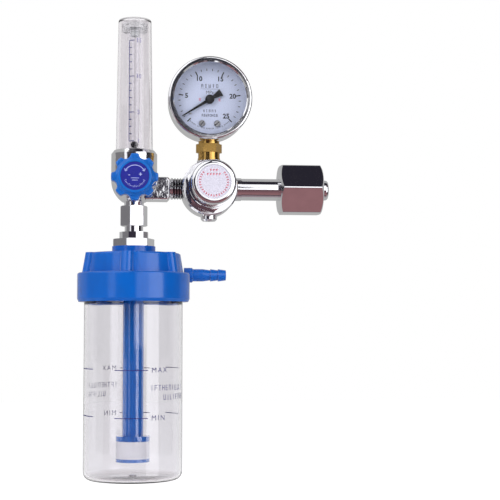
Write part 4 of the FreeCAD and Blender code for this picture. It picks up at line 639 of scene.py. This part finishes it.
floorFinish = Finish("floorPale", (0.86, 0.86, 0.87, 1), 0.9, Emission_Strength=1.0)
floorSeen = floorFinish.ray("Camera")
floorSeen = floorSeen.maths("MAXIMUM", floorSeen, floorFinish.ray("Transmission"))
floorFinish.drive("Emission Color", floorFinish.mixed(floorSeen, (0, 0, 0, 1),
                                                      studio["floorGlow"]))
floorFinish.drive("Roughness", floorFinish.spread(floorFinish.noise(0.2, 2.0), 0.85, 0.95))
ground = bmesh.new()
bmesh.ops.create_grid(ground, x_segments=2, y_segments=2, size=studio["floorSize"] / 2,
                      matrix=Matrix.Translation((0, 0, studio["floorZ"])))
staged("floor", ground, floorFinish.material).visible_glossy = False


def glowing(name):
    # Black, for a glow of its own.
    return Finish(name, (0, 0, 0, 1), 1.0, Specular_IOR_Level=0, Emission_Strength=1.0)


def forMirrors(piece):
    # Neither seen straight on nor giving light or shadow.
    piece.visible_camera = False
    piece.visible_diffuse = False
    piece.visible_shadow = False


def between(ends, share):
    return ends[0] + share * (ends[1] - ends[0])


# A panel spans sideways (0 is the camera's side, + to the right) and upward angles round
# the object, and goes from its first colour to its second along one axis.
panels = [
    {"name": "softRight", "side": (29, 60), "up": (-22, 30), "reach": 1.29, "axis": "X",
     "first": (2.2, 2.2, 2.3, 1), "second": (2.6, 2.6, 2.7, 1), "span": (0.35, 0.75)},
    {"name": "softMiddle", "side": (3, 29), "up": (-5, 50), "reach": 1.30, "axis": "X",
     "first": (1.25, 1.25, 1.3, 1), "second": (1.6, 1.6, 1.65, 1), "span": (0.0, 0.4)},
    {"name": "gaugeShade", "side": (-1, 8.4), "up": (9.6, 27), "reach": 1.26, "axis": "Z",
     "first": (0.05, 0.05, 0.06, 1), "second": (0.02, 0.02, 0.03, 1), "span": (0.2, 0.5)},
    {"name": "softLeft", "side": (-53, -38), "up": (-12, 46), "reach": 1.25, "axis": "Z",
     "first": (0.8, 0.8, 0.85, 1), "second": (1.3, 1.3, 1.35, 1), "span": (-0.2, 0.6)},
    {"name": "softAbove", "side": (-100, -8), "up": (13, 72), "reach": 1.33, "axis": "Z",
     "first": (0.85, 0.85, 0.88, 1), "second": (1.3, 1.3, 1.35, 1), "span": (0.3, 0.9)},
    {"name": "shadeRight", "side": (29, 60), "up": (30, 52), "reach": 1.33, "axis": "Z",
     "first": (0.02, 0.02, 0.03, 1), "second": (0.22, 0.11, 0.125, 1), "span": (0.3, 1.0)},
    {"name": "darkLeft", "side": (-108, 3), "up": (-6, 52), "reach": 1.36, "axis": "X",
     "first": (0.20, 0.195, 0.205, 1), "second": (0.035, 0.03, 0.045, 1), "span": (-1.3, -0.9)},
    {"name": "darkRight", "side": (60, 108), "up": (-30, 52), "reach": 1.34, "axis": "Y",
     "first": (0.03, 0.03, 0.035, 1), "second": (0.16, 0.15, 0.16, 1), "span": (-0.3, 0.35)},
    {"name": "darkAbove", "side": (-100, 100), "up": (52, 90), "reach": 1.40, "axis": "X",
     "first": (0.09, 0.085, 0.10, 1), "second": (0.022, 0.02, 0.03, 1), "span": (-0.25, 0.1)},
    {"name": "mauveLow", "side": (-75, 75), "up": (-60, -5), "reach": 1.38, "axis": "Z",
     "first": (0.30, 0.150, 0.162, 1), "second": (0.13, 0.07, 0.085, 1), "span": (-1.1, -0.25)},
    {"name": "darkLow", "side": (-75, 75), "up": (-68, -59), "reach": 1.37, "axis": "X",
     "first": (0.06, 0.04, 0.05, 1), "second": (0.10, 0.07, 0.08, 1), "span": (-0.5, 0.5)},
    {"name": "greyLow", "side": (-100, 100), "up": (-90, -58), "reach": 1.42, "axis": "Y",
     "first": (0.30, 0.23, 0.26, 1), "second": (0.45, 0.43, 0.45, 1), "span": (-0.2, 0.5)},
]
for panel in panels:
    start, end = panel["span"]
    glow = glowing(panel["name"])
    along = glow.add("ShaderNodeSeparateXYZ", {}, {"Vector": glow.spot}, panel["axis"])
    patchy = along + (glow.noise(0.16, 2.0, 0.6) - 0.5) * ((end - start) * 1.1)
    glow.drive("Emission Color", glow.mixed(glow.spread(patchy, 0, 1, start, end),
                                            panel["first"], panel["second"]))
    sheet = bmesh.new()
    bmesh.ops.create_grid(sheet, x_segments=24, y_segments=12, size=0.5)
    for vert in sheet.verts:
        side = math.radians(between(panel["side"], vert.co.x + 0.5))
        up = math.radians(between(panel["up"], vert.co.y + 0.5))
        vert.co = studio["centre"] + panel["reach"] * Vector((
            math.sin(side) * math.cos(up), -math.cos(side) * math.cos(up), math.sin(up)))
    forMirrors(staged(panel["name"], sheet, glow.material))

# A ring under the coupling that keeps the cap's blue out of the chrome above it
shade = {"radius": 34 * mm, "hole": 9.6 * mm, "up": -42.9 * mm, "steps": 48, "patch": 12 * mm,
         "first": (0.20, 0.17, 0.19, 1), "second": (0.42, 0.38, 0.41, 1)}
shadeGlow = glowing("capShade")
shadeGlow.drive("Emission Color", shadeGlow.mixed(
    shadeGlow.noise(shade["patch"], 2.0), shade["first"], shade["second"]))
ring = bmesh.new()
bmesh.ops.create_circle(ring, cap_ends=True, segments=shade["steps"], radius=shade["radius"],
                        matrix=Matrix.Translation((places["flowX"], 0, shade["up"])))
bmesh.ops.inset_region(ring, faces=ring.faces[:], thickness=shade["radius"] - shade["hole"])
hole = [face for face in ring.faces if len(face.verts) == shade["steps"]]
bmesh.ops.delete(ring, geom=hole, context="FACES")
capShade = staged("capShade", ring, shadeGlow.material)
forMirrors(capShade)
capShade.visible_transmission = False
nodes["humidifier_cap"].visible_glossy = False     # or the ring's mirror image is blue again

lamps = [
    {"name": "keyLamp", "wide": 0.45, "tall": 0.8, "at": (-0.62, -0.72, 0.45), "power": 5.0},
    {"name": "fillLamp", "wide": 0.5, "tall": 0.9, "at": (0.62, -0.62, 0.15), "power": 2.4},
    {"name": "backLamp", "wide": 0.9, "tall": 0.4, "at": (-0.05, 0.62, 0.62), "power": 2.2},
]
for lamp in lamps:
    light = bpy.data.lights.new(lamp["name"], "AREA")
    light.shape = "RECTANGLE"
    light.size = lamp["wide"]
    light.size_y = lamp["tall"]
    light.energy = lamp["power"]
    holder = bpy.data.objects.new(lamp["name"], light)
    scene.collection.objects.link(holder)
    holder.location = lamp["at"]
    facing = studio["centre"] - Vector(lamp["at"])
    holder.rotation_euler = facing.to_track_quat("-Z", "Y").to_euler()
    holder.visible_camera = False
    holder.visible_transmission = False
    holder.visible_glossy = False

# White where the camera looks, straight or through clear plastic; dimmer in mirrors
world = bpy.data.worlds.new("studioWorld")
scene.world = world
world.use_nodes = True
sky = Recipe(world.node_tree)
through = sky.ray("Transmission")
seen = through.maths("MAXIMUM", through, sky.ray("Camera"))
mirrored = sky.ray("Glossy") * (1 - through)
strength = studio["sky"] + seen * (1 - studio["sky"])
strength = strength - mirrored * (studio["sky"] - studio["mirrored"])
background = world.node_tree.nodes["Background"]
background.inputs["Color"].default_value = (1, 1, 1, 1)
world.node_tree.links.new(strength.socket, background.inputs["Strength"])
scene.view_settings.view_transform = "Standard"
print("studio set")

# Camera in front of the bottle's axis and a little below the inlet, turned to the
# right and up; its focal length is in pixels of the picture
shot = {"at": (-0.1307, -0.8693, -0.095), "yaw": 5.914, "pitch": 3.572, "focal": 1310.6,
        "across": 500, "sensor": 36}
cameraData = bpy.data.cameras.new("camera")
cameraData.sensor_fit = "HORIZONTAL"
cameraData.sensor_width = shot["sensor"]
cameraData.lens = shot["sensor"] * shot["focal"] / shot["across"]
cameraData.clip_start = 0.01
camera = bpy.data.objects.new("camera", cameraData)
scene.collection.objects.link(camera)
camera.location = shot["at"]
camera.rotation_euler = (math.radians(90 + shot["pitch"]), 0, -math.radians(shot["yaw"]))
scene.camera = camera
